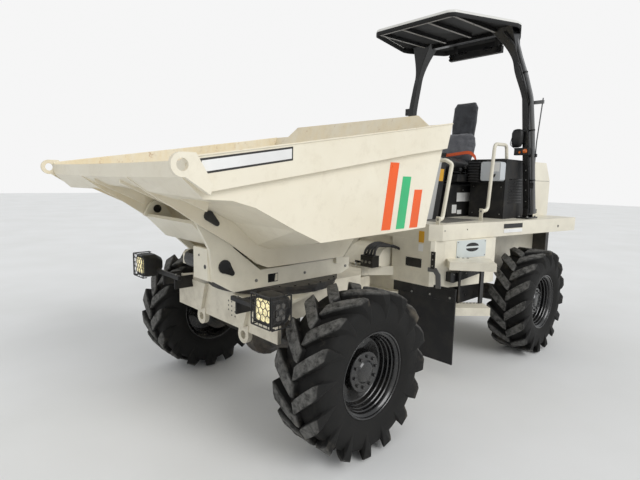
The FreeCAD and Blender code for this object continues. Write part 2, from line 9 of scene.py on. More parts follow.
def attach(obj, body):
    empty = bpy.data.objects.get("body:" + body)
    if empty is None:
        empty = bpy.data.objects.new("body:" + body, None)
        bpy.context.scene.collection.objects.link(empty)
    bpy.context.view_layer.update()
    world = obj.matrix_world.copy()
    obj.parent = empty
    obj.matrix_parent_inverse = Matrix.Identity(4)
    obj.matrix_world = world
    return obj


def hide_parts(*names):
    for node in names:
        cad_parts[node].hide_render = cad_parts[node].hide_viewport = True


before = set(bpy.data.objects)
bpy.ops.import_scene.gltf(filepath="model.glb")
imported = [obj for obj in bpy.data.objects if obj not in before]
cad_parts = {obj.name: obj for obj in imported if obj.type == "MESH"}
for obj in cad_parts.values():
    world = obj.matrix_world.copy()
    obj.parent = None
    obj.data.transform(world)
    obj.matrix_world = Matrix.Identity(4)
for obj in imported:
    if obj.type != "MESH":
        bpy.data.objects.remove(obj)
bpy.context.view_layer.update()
AXLE_Y = -1.152


def at(x, y, z):
    """A point measured from the front axle, moved to the frame."""
    return Vector((x, y + AXLE_Y, z))


def linear(r, g, b):
    out = []
    for c in (r, g, b):
        c = c / 255.0
        out.append(c / 12.92 if c <= 0.04045 else ((c + 0.055) / 1.055) ** 2.4)
    return tuple(out) + (1.0,)


# camera, fitted to the photograph
def make_camera():
    yaw = math.radians(46.19)
    down = math.radians(7.59)
    roll = math.radians(1.24)
    view = Vector((-math.sin(yaw) * math.cos(down), math.cos(yaw) * math.cos(down), -math.sin(down)))
    right = Vector((math.cos(yaw), math.sin(yaw), 0.0))
    up = right.cross(view)
    r2 = right * math.cos(roll) + up * math.sin(roll)
    u2 = up * math.cos(roll) - right * math.sin(roll)
    data = bpy.data.cameras.new("camera")
    data.sensor_width = 36.0
    data.lens = 454.4 * 36.0 / 640.0
    cam = bpy.data.objects.new("camera", data)
    place = Matrix((r2, u2, -view)).transposed().to_4x4()
    place.translation = Vector((2.576, -3.092, 1.591))
    cam.matrix_world = place
    bpy.context.scene.collection.objects.link(cam)
    bpy.context.scene.camera = cam


# material helpers
class Nodes:
    """A short way to write a node tree."""

    def __init__(self, name):
        self.mat = bpy.data.materials.new(name)
        self.mat.use_nodes = True
        self.tree = self.mat.node_tree
        self.tree.nodes.clear()
        self.out = self.tree.nodes.new("ShaderNodeOutputMaterial")
        self.shader = self.tree.nodes.new("ShaderNodeBsdfPrincipled")
        self.link(self.shader.outputs[0], self.out.inputs[0])
        coord = self.tree.nodes.new("ShaderNodeTexCoord")
        self.place = coord.outputs["Object"]
        self.normal = coord.outputs["Normal"]

    def link(self, a, b):
        self.tree.links.new(a, b)

    def put(self, socket, value):
        if isinstance(value, bpy.types.NodeSocket):
            self.link(value, socket)
        else:
            socket.default_value = value

    def noise(self, scale, detail=3.0, rough=0.55, stretch=None):
        node = self.tree.nodes.new("ShaderNodeTexNoise")
        node.inputs["Scale"].default_value = scale
        node.inputs["Detail"].default_value = detail
        node.inputs["Roughness"].default_value = rough
        src = self.place
        if stretch:
            src = self.vector("MULTIPLY", src, stretch)
        self.link(src, node.inputs["Vector"])
        return node.outputs["Fac"]

    def vector(self, op, a, b, out=0):
        node = self.tree.nodes.new("ShaderNodeVectorMath")
        node.operation = op
        self.put(node.inputs[0], a)
        self.put(node.inputs[1], b)
        return node.outputs[out]

    def math(self, op, a, b=0.5, clamp=False):
        node = self.tree.nodes.new("ShaderNodeMath")
        node.operation = op
        node.use_clamp = clamp
        self.put(node.inputs[0], a)
        self.put(node.inputs[1], b)
        return node.outputs[0]

    def ramp(self, value, low, high, to_low=0.0, to_high=1.0):
        node = self.tree.nodes.new("ShaderNodeMapRange")
        node.inputs["From Min"].default_value = low
        node.inputs["From Max"].default_value = high
        node.inputs["To Min"].default_value = to_low
        node.inputs["To Max"].default_value = to_high
        self.link(value, node.inputs["Value"])
        return node.outputs["Result"]

    def mix(self, fac, a, b):
        node = self.tree.nodes.new("ShaderNodeMix")
        node.data_type = "RGBA"
        self.put(node.inputs["Factor"], fac)
        self.put(node.inputs["A"], a)
        self.put(node.inputs["B"], b)
        return node.outputs["Result"]

    def axis(self, source, name):
        node = self.tree.nodes.new("ShaderNodeSeparateXYZ")
        self.link(source, node.inputs[0])
        return node.outputs[name]

    def finish(self, colour, rough, bump=None, height=0.001, strength=0.5, metal=0.0, coat=0.0):
        s = self.shader.inputs
        self.put(s["Base Color"], colour)
        self.put(s["Roughness"], rough)
        s["Metallic"].default_value = metal
        s["Coat Weight"].default_value = coat
        if bump is not None:
            node = self.tree.nodes.new("ShaderNodeBump")
            node.inputs["Distance"].default_value = height
            node.inputs["Strength"].default_value = strength
            self.link(bump, node.inputs["Height"])
            self.link(node.outputs[0], s["Normal"])
        return self.mat


def paint(name, colour, dirt=(120, 104, 84), amount=0.35, rough=0.42, low=0.2, high=1.3, coat=0.1, band=None):
    """Sprayed paint with faint mottling, and dust that thickens towards the ground; a band of height may be black."""
    n = Nodes(name)
    base = linear(*colour)
    worn = linear(*[c * 0.93 for c in colour])
    tone = n.mix(n.ramp(n.noise(2.3, 4.0), 0.35, 0.7), base, worn)
    if band:
        z = n.axis(n.place, "Z")
        inside = n.math("MULTIPLY", n.math("GREATER_THAN", z, band[0]), n.math("LESS_THAN", z, band[1]))
        tone = n.mix(inside, tone, linear(22, 22, 23))
    height = n.ramp(n.axis(n.place, "Z"), low, high, 1.0, 0.12)
    cloud = n.ramp(n.noise(9.0, 6.0, 0.65), 0.42, 0.72)
    speck = n.ramp(n.noise(70.0, 3.0, 0.6), 0.6, 0.72, 0.0, 0.5)
    dust = n.math("MULTIPLY", n.math("ADD", cloud, speck, True), n.math("MULTIPLY", height, amount), True)
    tone = n.mix(dust, tone, linear(*dirt))
    shine = n.math("ADD", n.ramp(n.noise(26.0, 3.0), 0.3, 0.7, rough - 0.05, rough + 0.08), n.math("MULTIPLY", dust, 0.4))
    return n.finish(tone, shine, n.noise(240.0, 2.0), 0.0006, 0.25, coat=coat)


def skip_paint():
    """Cream outside; inside and on the rim yellowed and rusted by the load."""
    n = Nodes("skip_cream")
    base = linear(236, 229, 210)
    tone = n.mix(n.ramp(n.noise(1.7, 4.0), 0.35, 0.7), base, linear(226, 217, 195))
    nx = n.axis(n.normal, "X")
    px = n.axis(n.place, "X")
    inward = n.ramp(n.math("MULTIPLY", nx, px), -0.55, -0.02, 1.0, 0.0)
    upward = n.ramp(n.axis(n.normal, "Z"), 0.05, 0.4, 0.0, 1.0)
    inside = n.math("MAXIMUM", inward, upward)
    run = n.noise(5.0, 6.0, 0.7, (1.0, 1.0, 0.35))
    yellow = n.math("MULTIPLY", inside, n.ramp(run, 0.38, 0.66), True)
    tone = n.mix(yellow, tone, linear(226, 209, 172))
    spots = n.math("MULTIPLY", inside, n.ramp(n.noise(22.0, 8.0, 0.75), 0.6, 0.72), True)
    tone = n.mix(spots, tone, linear(170, 116, 70))
    grime = n.ramp(n.noise(11.0, 6.0, 0.7), 0.52, 0.8, 0.0, 0.22)
    tone = n.mix(grime, tone, linear(168, 152, 124))
    shine = n.math("ADD", n.ramp(n.noise(30.0, 3.0), 0.3, 0.7, 0.4, 0.52), n.math("MULTIPLY", spots, 0.3))
    return n.finish(tone, shine, n.noise(190.0, 3.0), 0.0008, 0.3, coat=0.08)


def roof_bar_paint():
    """Black bars whose lower faces are grey."""
    n = Nodes("roof_bar")
    under = n.ramp(n.axis(n.normal, "Z"), -0.9, -0.7, 1.0, 0.0)
    return n.finish(n.mix(under, linear(12, 12, 13), linear(132, 128, 122)), n.ramp(n.noise(30.0), 0.3, 0.7, 0.4, 0.5))


def tyre_rubber(name, centre):
    """Dusty rubber: worn pale on the lugs, browner in the grooves, dark on the side wall."""
    n = Nodes(name)
    off = n.vector("SUBTRACT", n.place, tuple(centre))
    flat = n.vector("MULTIPLY", off, (0.0, 1.0, 1.0))
    node = n.tree.nodes.new("ShaderNodeVectorMath")
    node.operation = "LENGTH"
    n.link(flat, node.inputs[0])
    reach = node.outputs["Value"]
    cloud = n.noise(13.0, 6.0, 0.7)
    base = n.mix(n.ramp(cloud, 0.35, 0.7), linear(22, 22, 21), linear(35, 34, 33))
    worn = n.math("MULTIPLY", n.ramp(reach, 0.468, 0.486), n.ramp(n.noise(28.0, 5.0, 0.7), 0.3, 0.62), True)
    tone = n.mix(worn, base, linear(108, 107, 104))
    mud = n.math("MULTIPLY", n.ramp(reach, 0.425, 0.455), n.ramp(n.noise(7.0, 5.0, 0.6), 0.56, 0.8), True)
    mud = n.math("MULTIPLY", mud, n.ramp(reach, 0.462, 0.478, 1.0, 0.35))
    tone = n.mix(mud, tone, linear(104, 97, 85))
    bump = n.math("ADD", n.noise(120.0, 4.0, 0.7), n.math("MULTIPLY", n.noise(36.0, 3.0), 1.2))
    n.shader.inputs["Specular IOR Level"].default_value = 0.22
    return n.finish(tone, n.ramp(cloud, 0.3, 0.7, 0.62, 0.85), bump, 0.0016, 0.5)


def metal(name, colour, rough=0.3, scale=60.0, stain=(60, 50, 42), amount=0.25, metallic=1.0):
    n = Nodes(name)
    tone = n.mix(n.ramp(n.noise(14.0, 5.0, 0.7), 0.5, 0.75, 0.0, amount), linear(*colour), linear(*stain))
    shine = n.ramp(n.noise(scale, 3.0), 0.3, 0.7, rough - 0.07, rough + 0.12)
    return n.finish(tone, shine, n.noise(scale * 4.0, 2.0), 0.0003, 0.2, metal=metallic)


def plastic(name, colour, rough=0.55, grain=420.0, dusty=0.25, dust=(140, 132, 118)):
    n = Nodes(name)
    film = n.ramp(n.noise(8.0, 5.0, 0.65), 0.45, 0.8, 0.0, dusty)
    tone = n.mix(film, linear(*colour), linear(*dust))
    return n.finish(tone, n.math("ADD", film, rough), n.noise(grain, 2.0), 0.0004, 0.4)


def cloth(name, colour, dark, weave=900.0, sheen=0.3):
    """Woven fabric: two crossed waves with colour variation."""
    n = Nodes(name)
    waves = []
    for direction in ("X", "Z"):
        node = n.tree.nodes.new("ShaderNodeTexWave")
        node.bands_direction = direction
        node.inputs["Scale"].default_value = weave / 6.0
        node.inputs["Distortion"].default_value = 1.2
        n.link(n.place, node.inputs["Vector"])
        waves.append(node.outputs["Fac"])
    threads = n.math("MULTIPLY", waves[0], waves[1])
    tone = n.mix(n.ramp(n.noise(16.0, 5.0), 0.3, 0.75), linear(*colour), linear(*dark))
    tone = n.mix(n.ramp(threads, 0.0, 0.6, 0.35, 0.0), tone, linear(*[c * 0.6 for c in dark]))
    n.shader.inputs["Sheen Weight"].default_value = sheen
    return n.finish(tone, 0.9, threads, 0.0012, 0.6)


def leather(name, colour, rough=0.45):
    n = Nodes(name)
    cell = n.tree.nodes.new("ShaderNodeTexVoronoi")
    cell.inputs["Scale"].default_value = 260.0
    n.link(n.place, cell.inputs["Vector"])
    tone = n.mix(n.ramp(n.noise(12.0, 5.0), 0.4, 0.75, 0.0, 0.5), linear(*colour), linear(*[min(255, c + 26) for c in colour]))
    return n.finish(tone, n.ramp(n.noise(34.0, 3.0), 0.3, 0.7, rough - 0.06, rough + 0.12), cell.outputs["Distance"], 0.0007, 0.5)


def lens(name, colour, glow=0.0):
    """Clear plastic over a lit reflector."""
    n = Nodes(name)
    cell = n.tree.nodes.new("ShaderNodeTexVoronoi")
    cell.inputs["Scale"].default_value = 70.0
    n.link(n.place, cell.inputs["Vector"])
    spread = n.ramp(cell.outputs["Distance"], 0.1, 0.7)
    tone = n.mix(spread, linear(*colour), linear(*[c * 0.72 for c in colour]))
    n.put(n.shader.inputs["Emission Color"], tone)
    n.shader.inputs["Emission Strength"].default_value = glow
    return n.finish(tone, 0.12, cell.outputs["Distance"], 0.002, 0.5, coat=0.8)


MAT = {
    "skip": skip_paint(),
    "cream": paint("cream_paint", (230, 224, 206), rough=0.4),
    "steps": paint("cream_paint_steps", (230, 224, 206), rough=0.4, band=(0.6055, 0.9045)),
    "cream_grey": paint("cream_paint_front", (226, 219, 200), amount=0.5),
    "white": paint("white_paint", (226, 225, 220), amount=0.2, rough=0.35, low=1.0, high=2.6),
    "frame_grey": paint("grey_frame_paint", (100, 101, 102), amount=0.2, rough=0.4, low=1.0, high=3.0),
    "black": paint("black_paint", (14, 14, 15), dirt=(104, 97, 86), amount=0.18, rough=0.3),
    "chassis_black": paint("black_chassis_paint", (34, 34, 34), dirt=(122, 110, 94), amount=0.55, rough=0.5),
    "rim": paint("rim_black", (15, 15, 16), dirt=(96, 90, 80), amount=0.16, rough=0.24, low=0.2, high=0.9, coat=0.5),
    "steel": metal("ground_steel", (176, 176, 172), 0.28),
    "dull_steel": metal("zinc_steel", (150, 150, 146), 0.42, stain=(92, 74, 52), amount=0.4),
    "chrome": metal("hard_chrome", (205, 206, 206), 0.12, amount=0.05),
    "plastic": plastic("black_plastic", (20, 20, 21), dusty=0.14),
    "grey_plastic": plastic("grey_plastic", (172, 172, 170), 0.5, dusty=0.15),
    "pale_plastic": plastic("pale_plastic", (196, 200, 203), 0.35, dusty=0.12),
    "rubber": plastic("mud_rubber", (26, 26, 28), 0.6, 150.0, 0.1),
    "grey_fabric": cloth("seat_fabric", (120, 121, 126), (78, 79, 84)),
    "dark_fabric": cloth("head_fabric", (78, 80, 85), (46, 47, 51)),
    "belt": cloth("belt_webbing", (238, 104, 56), (214, 86, 44), 1500.0, 0.1),
    "vinyl": leather("seat_vinyl", (26, 26, 27)),
    "lamp": lens("lamp_clear", (252, 238, 184), 0.9),
    "amber": lens("lamp_amber", (236, 116, 22), 0.15),
    "red": lens("lamp_red", (170, 18, 14), 0.1),
    "sign": paint("sign_white", (240, 240, 238), amount=0.1, rough=0.3),
    "sign_edge": paint("sign_black", (44, 42, 40), amount=0.1, rough=0.4),
    "orange": paint("stripe_orange", (247, 96, 20), amount=0.12, rough=0.32, low=1.0, high=2.0),
    "green": paint("stripe_green", (52, 190, 122), amount=0.12, rough=0.32, low=1.0, high=2.0),
    "yellow": paint("label_yellow", (222, 166, 44), amount=0.2, rough=0.4),
    "tread": plastic("tread_grip", (104, 102, 96), 0.7, 200.0, 0.4),
    "smoke": lens("lamp_smoked", (70, 66, 60)),
    "mirror": metal("mirror_glass", (225, 228, 230), 0.05, amount=0.02),
    "roof_bar": roof_bar_paint(),
    # the canopy's black inside, darkened below the black paint as painted shade under the roof
    "roof_black_and_shade": plastic("roof_inner_black_and_shade", (8, 8, 9), 0.7, dusty=0.03),
    "zinc": metal("bright_zinc", (214, 220, 218), 0.4, amount=0.06, metallic=0.5),
}

NODE_FINISH = {
    "skip": ("skip_body", "skip_lifting_eyes", "skip_ribs", "skip_cylinder_bracket"),
    "cream": ("tipping_frame", "rear_frame", "deck", "engine_hood", "handrails"),
    "steps": ("steps",),
    "roof_bar": ("canopy_frame",),
    "cream_grey": ("front_frame",),
    "white": ("canopy",),
    "black": ("protection_posts", "tip_pins", "cylinder_base_pin", "steer_cylinder_barrel", "tip_cylinder_barrel"),
    "chassis_black": ("front_axle", "rear_axle", "counterweight", "engine", "slew_ring_upper", "slew_ring_lower"),
    "rim": ("rim_fl", "rim_fr", "rim_rl", "rim_rr"),
    "steel": ("pivot_pin", "steer_cylinder_pin", "hood_hinges"),
    "chrome": ("tip_cylinder_rod", "steer_cylinder_rod"),
    "plastic": ("headlights", "bulkhead", "steering_wheel", "seat_base", "dashboard", "rear_lamp_bar"),
    "rubber": ("mudflaps",),
    "red": ("rear_lamps",),
    "grey_fabric": ("seat",),
}


def dress(node, mat):
    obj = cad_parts[node]
    for s in obj.material_slots:
        s.link = "OBJECT"
        s.material = mat


for key, names in NODE_FINISH.items():
    for node in names:
        dress(node, MAT[key])


# piece helpers
def piece(name, verts, faces, body, mat, bevel=0.0, smooth=False):
    mesh = bpy.data.meshes.new(name)
    mesh.from_pydata([tuple(v) for v in verts], [], faces)
    mesh.validate()
    grid = bmesh.new()
    grid.from_mesh(mesh)
    bmesh.ops.recalc_face_normals(grid, faces=grid.faces[:])
    grid.to_mesh(mesh)
    grid.free()
    obj = bpy.data.objects.new(name, mesh)
    bpy.context.scene.collection.objects.link(obj)
    mesh.materials.append(MAT[mat])
    if smooth:
        mesh.polygons.foreach_set("use_smooth", [True] * len(mesh.polygons))
    if bevel:
        mod = obj.modifiers.new("edge", "BEVEL")
        mod.width = bevel
        mod.segments = 2
        mod.limit_method = "ANGLE"
        mod.angle_limit = math.radians(35)
        mod.harden_normals = True
        mesh.polygons.foreach_set("use_smooth", [True] * len(mesh.polygons))
    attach(obj, body)
    return obj


def arcs(pts, bend, steps):
    """Corner points of straight runs replaced by arcs."""
    line = [pts[0]]
    for before, p, after in zip(pts, pts[1:], pts[2:]):
        a = (before - p).normalized()
        b = (after - p).normalized()
        half = a.angle(b) / 2.0
        if half > math.pi / 2 - 0.01:
            line.append(p)
            continue
        centre = p + (a + b).normalized() * (bend / math.sin(half))
        start = p + a * (bend / math.tan(half)) - centre
        end = p + b * (bend / math.tan(half)) - centre
        line += [centre + start.slerp(end, k / steps).normalized() * bend for k in range(steps + 1)]
    return line + [pts[-1]]


def rounded(u0, u1, z0, z1, r, steps=4):
    """A rectangle with round corners, as along and height."""
    out = []
    for cu, cz, start in ((u1 - r, z0 + r, 270), (u1 - r, z1 - r, 0), (u0 + r, z1 - r, 90), (u0 + r, z0 + r, 180)):
        for k in range(steps + 1):
            a = math.radians(start + 90.0 * k / steps)
            out.append((cu + r * math.cos(a), cz + r * math.sin(a)))
    return out


class Wall:
    """An upright face through two ground points; side -1 is its mirror image."""

    def __init__(self, a, b, side=1):
        self.start = Vector((a[0], a[1], 0.0))
        self.way = (Vector((b[0], b[1], 0.0)) - self.start).normalized()
        self.out = Vector((self.way.y, -self.way.x, 0.0))
        self.side = side

    def point(self, u, z, off=0.0):
        p = self.start + self.way * u + self.out * off
        return at(p.x * self.side, p.y, z)

    def normal(self):
        return Vector((self.out.x * self.side, self.out.y, 0.0))


class Shape:
    """Collects closed forms into one mesh."""

    def __init__(self):
        self.verts = []
        self.faces = []

    def add(self, verts, faces):
        start = len(self.verts)
        self.verts += [Vector(v) for v in verts]
        self.faces += [[start + i for i in f] for f in faces]

    def prism(self, loop, shift):
        """A closed loop of points pushed along one vector."""
        shift = Vector(shift)
        n = len(loop)
        verts = [Vector(p) for p in loop] + [Vector(p) + shift for p in loop]
        faces = [list(range(n))[::-1], list(range(n, 2 * n))]
        faces += [[i, (i + 1) % n, n + (i + 1) % n, n + i] for i in range(n)]
        self.add(verts, faces)

    def block(self, low, high):
        x0, y0, z0 = low
        x1, y1, z1 = high
        self.prism([at(x0, y0, z0), at(x1, y0, z0), at(x1, y1, z0), at(x0, y1, z0)], (0, 0, z1 - z0))

    def turned(self, start, along, profile, sides=24, ring=False):
        """A form turned round an axis: profile rows are distance along it and radius."""
        along = Vector(along).normalized()
        side = along.orthogonal().normalized()
        other = along.cross(side)
        verts = []
        for t, r in profile:
            for k in range(sides):
                a = 2.0 * math.pi * k / sides
                verts.append(start + along * t + (side * math.cos(a) + other * math.sin(a)) * r)
        faces = []
        for j in range(len(profile) - 1):
            for k in range(sides):
                m = (k + 1) % sides
                faces.append([j * sides + k, j * sides + m, (j + 1) * sides + m, (j + 1) * sides + k])
        last = (len(profile) - 1) * sides
        if ring:
            faces += [[last + k, last + (k + 1) % sides, (k + 1) % sides, k] for k in range(sides)]
        else:
            faces.append(list(range(sides))[::-1])
            faces.append([last + k for k in range(sides)])
        self.add(verts, faces)

    def loft(self, rows):
        """Rings of equal count joined to a closed skin with flat ends."""
        count = len(rows[0])
        faces = []
        for j in range(len(rows) - 1):
            for k in range(count):
                m = (k + 1) % count
                faces.append([j * count + k, j * count + m, (j + 1) * count + m, (j + 1) * count + k])
        faces.append(list(range(count))[::-1])
        faces.append([(len(rows) - 1) * count + k for k in range(count)])
        self.add([p for row in rows for p in row], faces)

    def plate(self, wall, loop, low, high):
        """A flat piece on an upright face; the loop is along and height, low and high are off it."""
        pts = [wall.point(u, z, low) for u, z in loop]
        self.prism(pts, wall.point(0, 0, high) - wall.point(0, 0, low))

    def tube(self, points, radius, bend=0.03, sides=16, steps=8):
        """A round tube along straight runs, with a true arc at each corner."""
        line = arcs([Vector(p) for p in points], bend, steps)
        side = (line[1] - line[0]).orthogonal().normalized()
        rows = []
        for i, p in enumerate(line):
            way = (line[min(i + 1, len(line) - 1)] - line[max(i - 1, 0)]).normalized()
            side = (side - way * side.dot(way)).normalized()
            other = way.cross(side)
            rows.append([p + (side * math.cos(a) + other * math.sin(a)) * radius
                         for a in (2.0 * math.pi * k / sides for k in range(sides))])
        self.loft(rows)

    def bolt(self, place, along, size=0.012, washer=True):
        """A hexagon head on a washer."""
        along = Vector(along).normalized()
        if washer:
            self.turned(place, along, [(0.0, size * 1.05), (size * 0.16, size * 1.0)], 16)
        self.turned(place, along, [(size * 0.1, size * 0.86), (size * 0.75, size * 0.86), (size * 0.9, size * 0.7)], 6)

    def make(self, name, body, mat, slot, bevel=0.0, smooth=False):
        return piece(name, self.verts, self.faces, body, mat, bevel, smooth)


def pipe(name, points, radius, body, mat, round_corners=True):
    """A bent tube or wire drawn as a curve with a round section."""
    curve = bpy.data.curves.new(name, "CURVE")
    curve.dimensions = "3D"
    curve.bevel_depth = radius
    curve.bevel_resolution = 3
    curve.resolution_u = 6
    curve.use_fill_caps = True
    line = curve.splines.new("NURBS" if round_corners else "POLY")
    line.points.add(len(points) - 1)
    for p, q in zip(line.points, points):
        p.co = (q[0], q[1], q[2], 1.0)
    if round_corners:
        line.order_u = 3
        line.use_endpoint_u = True
    obj = bpy.data.objects.new(name, curve)
    bpy.context.scene.collection.objects.link(obj)
    curve.materials.append(MAT[mat])
    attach(obj, body)
    return obj


# skip: sign plate, stripes and marks, all blank
def band_z(y, share):
    """Height on the folded band of the skip's side, from 0 at its bottom to 1 at the rim."""
    rows = ((-1.0, 1.530, 1.680), (-0.863, 1.552, 1.702), (-0.5, 1.610, 1.760), (0.43, 1.761, 1.911), (0.83, 1.812, 1.978))
    for (y0, b0, r0), (y1, b1, r1) in zip(rows, rows[1:]):
        if y <= y1 or y1 == rows[-1][0]:
            t = (y - y0) / (y1 - y0)
            low = b0 + (b1 - b0) * t
            top = r0 + (r1 - r0) * t
            return low + (top - low) * share
    return 0.0


sign = Shape()
edge = Shape()
for a, b, shape, out in ((0.0, 0.0, edge, 0.0012), (0.008, 0.06, sign, 0.0022)):
    y0 = -1.034 + a
    y1 = -0.556 - a
    loop = [at(0.94, y0, band_z(y0, 0.50 + b)), at(0.94, y1, band_z(y1, 0.50 + b)),
            at(0.94, y1, band_z(y1, 0.92 - b)), at(0.94, y0, band_z(y0, 0.92 - b))]
    shape.prism(loop, (out, 0, 0))
edge.make("sign_border", "skip", "sign_edge", "skip_paint")
sign.make("sign_plate", "skip", "sign", "skip_paint")

for side in (1, -1):
    tag = "left" if side > 0 else "right"
    for k, (y, wide, top, colour) in enumerate(((0.16, 0.085, 1.70, "orange"), (0.30, 0.085, 1.62, "green"),
                                                (0.44, 0.085, 1.54, "orange"))):
        bar = Shape()
        lean = 0.16
        loop = []
        for dy, z in ((0.0, 1.30), (wide, 1.30), (wide + lean * (top - 1.30), top), (lean * (top - 1.30), top)):
            loop.append(at(side * 0.905, y + dy, z))
        bar.prism(loop, (side * 0.0012, 0, 0))
        bar.make("stripe_%s_%d" % (tag, k), "skip", colour, "skip_paint")


# headlights: housing, lens and a wire guard of hexagons that wraps round the outer side
LAMP_X = (0.686, 0.842)
LAMP_Z = (0.848, 1.002)
LAMP_FRONT = -0.592


def guard(shape, place, wide, high):
    """Hexagon wires in a rectangle; place turns along and height into a point."""
    size = 0.0225
    gap = size * math.sqrt(3.0)
    for row in range(-4, 5):
        for col in range(-4, 5):
            cu = col * gap + (gap / 2.0 if row % 2 else 0.0)
            cz = row * size * 1.5
            for k in range(3):
                a = math.radians(60 * k + 30)
                b = math.radians(60 * k + 90)
                p = (cu + size * math.cos(a), cz + size * math.sin(a))
                q = (cu + size * math.cos(b), cz + size * math.sin(b))
                if all(abs(v[0]) < wide + 0.004 and abs(v[1]) < high + 0.004 for v in (p, q)):
                    start = place(*p)
                    way = place(*q) - start
                    shape.turned(start, way, [(0.0, 0.0021), (way.length, 0.0021)], 6)
    corners = [place(u, z) for u, z in ((-wide, -high), (wide, -high), (wide, high), (-wide, high))]
    for a, b in zip(corners, corners[1:] + corners[:1]):
        shape.turned(a, b - a, [(0.0, 0.004), ((b - a).length, 0.004)], 8)


def headlight(side):
    tag = "left" if side > 0 else "right"
    x0, x1 = sorted((side * LAMP_X[0], side * LAMP_X[1]))
    mid = (x0 + x1) / 2.0
    middle = (LAMP_Z[0] + LAMP_Z[1]) / 2.0
    form = Shape()
    rows = []
    for y, half, high, cut in ((LAMP_FRONT, 0.076, 0.079, 0.020), (-0.560, 0.080, 0.083, 0.022), (-0.500, 0.080, 0.083, 0.026),
                               (-0.450, 0.052, 0.054, 0.022), (-0.436, 0.038, 0.040, 0.016)):
        loop = ((-half + cut, -high), (half - cut, -high), (half, -high + cut), (half, high - cut), (half - cut, high), (-half + cut, high),
                (-half, high - cut), (-half, -high + cut))
        rows.append([at(mid + a, y, middle + b) for a, b in loop])
    form.loft(rows)
    form.block((min(side * 0.33, side * 0.72), -0.510, 0.872), (max(side * 0.33, side * 0.72), -0.480, 0.902))
    for a, b in ((0.380, 0.395), (0.560, 0.575)):
        form.block((min(side * a, side * b), -0.510, 0.800), (max(side * a, side * b), -0.366, 0.890))
    housing = form.make("headlight_housing_" + tag, "front", "plastic", "black_plastic", 0.006)
    if side > 0:
        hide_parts("headlights")
    for mat, half, high, deep, name in (("lamp", 0.056, 0.058, 0.012, "lens"),):
        form = Shape()
        form.loft([[at(mid + a, LAMP_FRONT - d, middle + b) for a, b in rounded(-half + i, half - i, -high + i, high - i, 0.016, 5)]
                   for i, d in ((0.0, -0.004), (0.0, 0.002), (0.006, deep * 0.7), (0.022, deep))])
        form.make("headlight_%s_%s" % (name, tag), "front", mat, "lamp", smooth=False, bevel=0.002)
    out = side * LAMP_X[1]
    form = Shape()
    form.loft([[at(out + side * d, -0.545 + a, middle + b) for a, b in rounded(-0.030, 0.030, -0.045, 0.045, 0.012, 4)]
               for d in (-0.002, 0.0075)])
    form.make("headlight_side_lens_" + tag, "front", "smoke", "lamp", 0.002)
    wires = Shape()
    guard(wires, lambda u, z: at(mid + u, LAMP_FRONT - 0.016, middle + z), 0.080, 0.083)
    guard(wires, lambda u, z: at(out + side * 0.014, -0.545 + u, middle + z), 0.062, 0.083)
    for z in (-0.083, 0.083):
        for x, y in ((x0 + 0.002, LAMP_FRONT - 0.016), (x1 - 0.002, LAMP_FRONT - 0.016)):
            start = at(x, y, middle + z)
            wires.turned(start, (0, 1, 0), [(0.0, 0.004), (0.030, 0.004)], 8)
        start = at(out + side * 0.014, -0.483, middle + z)
        wires.turned(start, (-side, 0, 0), [(0.0, 0.004), (0.024, 0.004)], 8)
    wires.make("headlight_guard_" + tag, "front", "black", "dark_metal")


headlight(1)
headlight(-1)


# soft seat: grown from a slightly small form, blown up by a short cloth run
def soft_ring(half_x, half_y, power, count=40):
    out = []
    for k in range(count):
        a = 2.0 * math.pi * k / count
        c = math.cos(a)
        s = math.sin(a)
        out.append((half_x * math.copysign(abs(c) ** (2.0 / power), c), half_y * math.copysign(abs(s) ** (2.0 / power), s)))
    return out


def pad(name, rows, mat, body, voxel, cap, slot, cuts=()):
    """rows: centre, half width, half depth and squareness of rings along the pad."""
    rings = []
    for centre, across, deep, hx, hy, power in rows:
        rings.append([Vector(centre) + Vector(across) * a + Vector(deep) * b for a, b in soft_ring(hx, hy, power)])
    form = Shape()
    form.loft(rings)
    obj = form.make(name, body, mat, slot, smooth=True)
    mod = obj.modifiers.new("remesh", "REMESH")
    mod.mode = "VOXEL"
    mod.voxel_size = voxel
    settle(obj)
    blow(obj, cap)
    groove(obj, cuts)
    sub = obj.modifiers.new("smooth", "SUBSURF")
    sub.levels = 1
    sub.render_levels = 1
    settle(obj)
    obj.data.polygons.foreach_set("use_smooth", [True] * len(obj.data.polygons))
    return obj


def settle(obj):
    """Apply what the modifiers make."""
    graph = bpy.context.evaluated_depsgraph_get()
    mesh = bpy.data.meshes.new_from_object(obj.evaluated_get(graph), depsgraph=graph)
    obj.modifiers.clear()
    old = obj.data
    obj.data = mesh
    mesh.name = old.name


def blow(obj, cap):
    """A short cloth run under pressure, with no gravity and a cap on how far a point moves."""
    start = [v.co.copy() for v in obj.data.vertices]
    mod = obj.modifiers.new("cloth", "CLOTH")
    mod.settings.use_pressure = True
    mod.settings.uniform_pressure_force = 4.0
    mod.settings.effector_weights.gravity = 0.0
    mod.settings.quality = 5
    mod.point_cache.frame_start = 1
    mod.point_cache.frame_end = 20
    for f in range(1, 21):
        bpy.context.scene.frame_set(f)
    settle(obj)
    for v, s in zip(obj.data.vertices, start):
        move = v.co - s
        if move.length > cap:
            v.co = s + move.normalized() * cap
    bpy.context.scene.frame_set(1)


def groove(obj, cuts):
    """Sewn lines: each cut is two points, a width and a depth; the skin dips along it."""
    for a, b, width, depth in cuts:
        a = Vector(a)
        b = Vector(b)
        way = b - a
        for v in obj.data.vertices:
            t = max(0.0, min(1.0, (v.co - a).dot(way) / way.length_squared))
            d = (v.co - (a + way * t)).length
            if d < width * 3.0:
                v.co -= v.normal * depth * math.exp(-(d / width) ** 2)


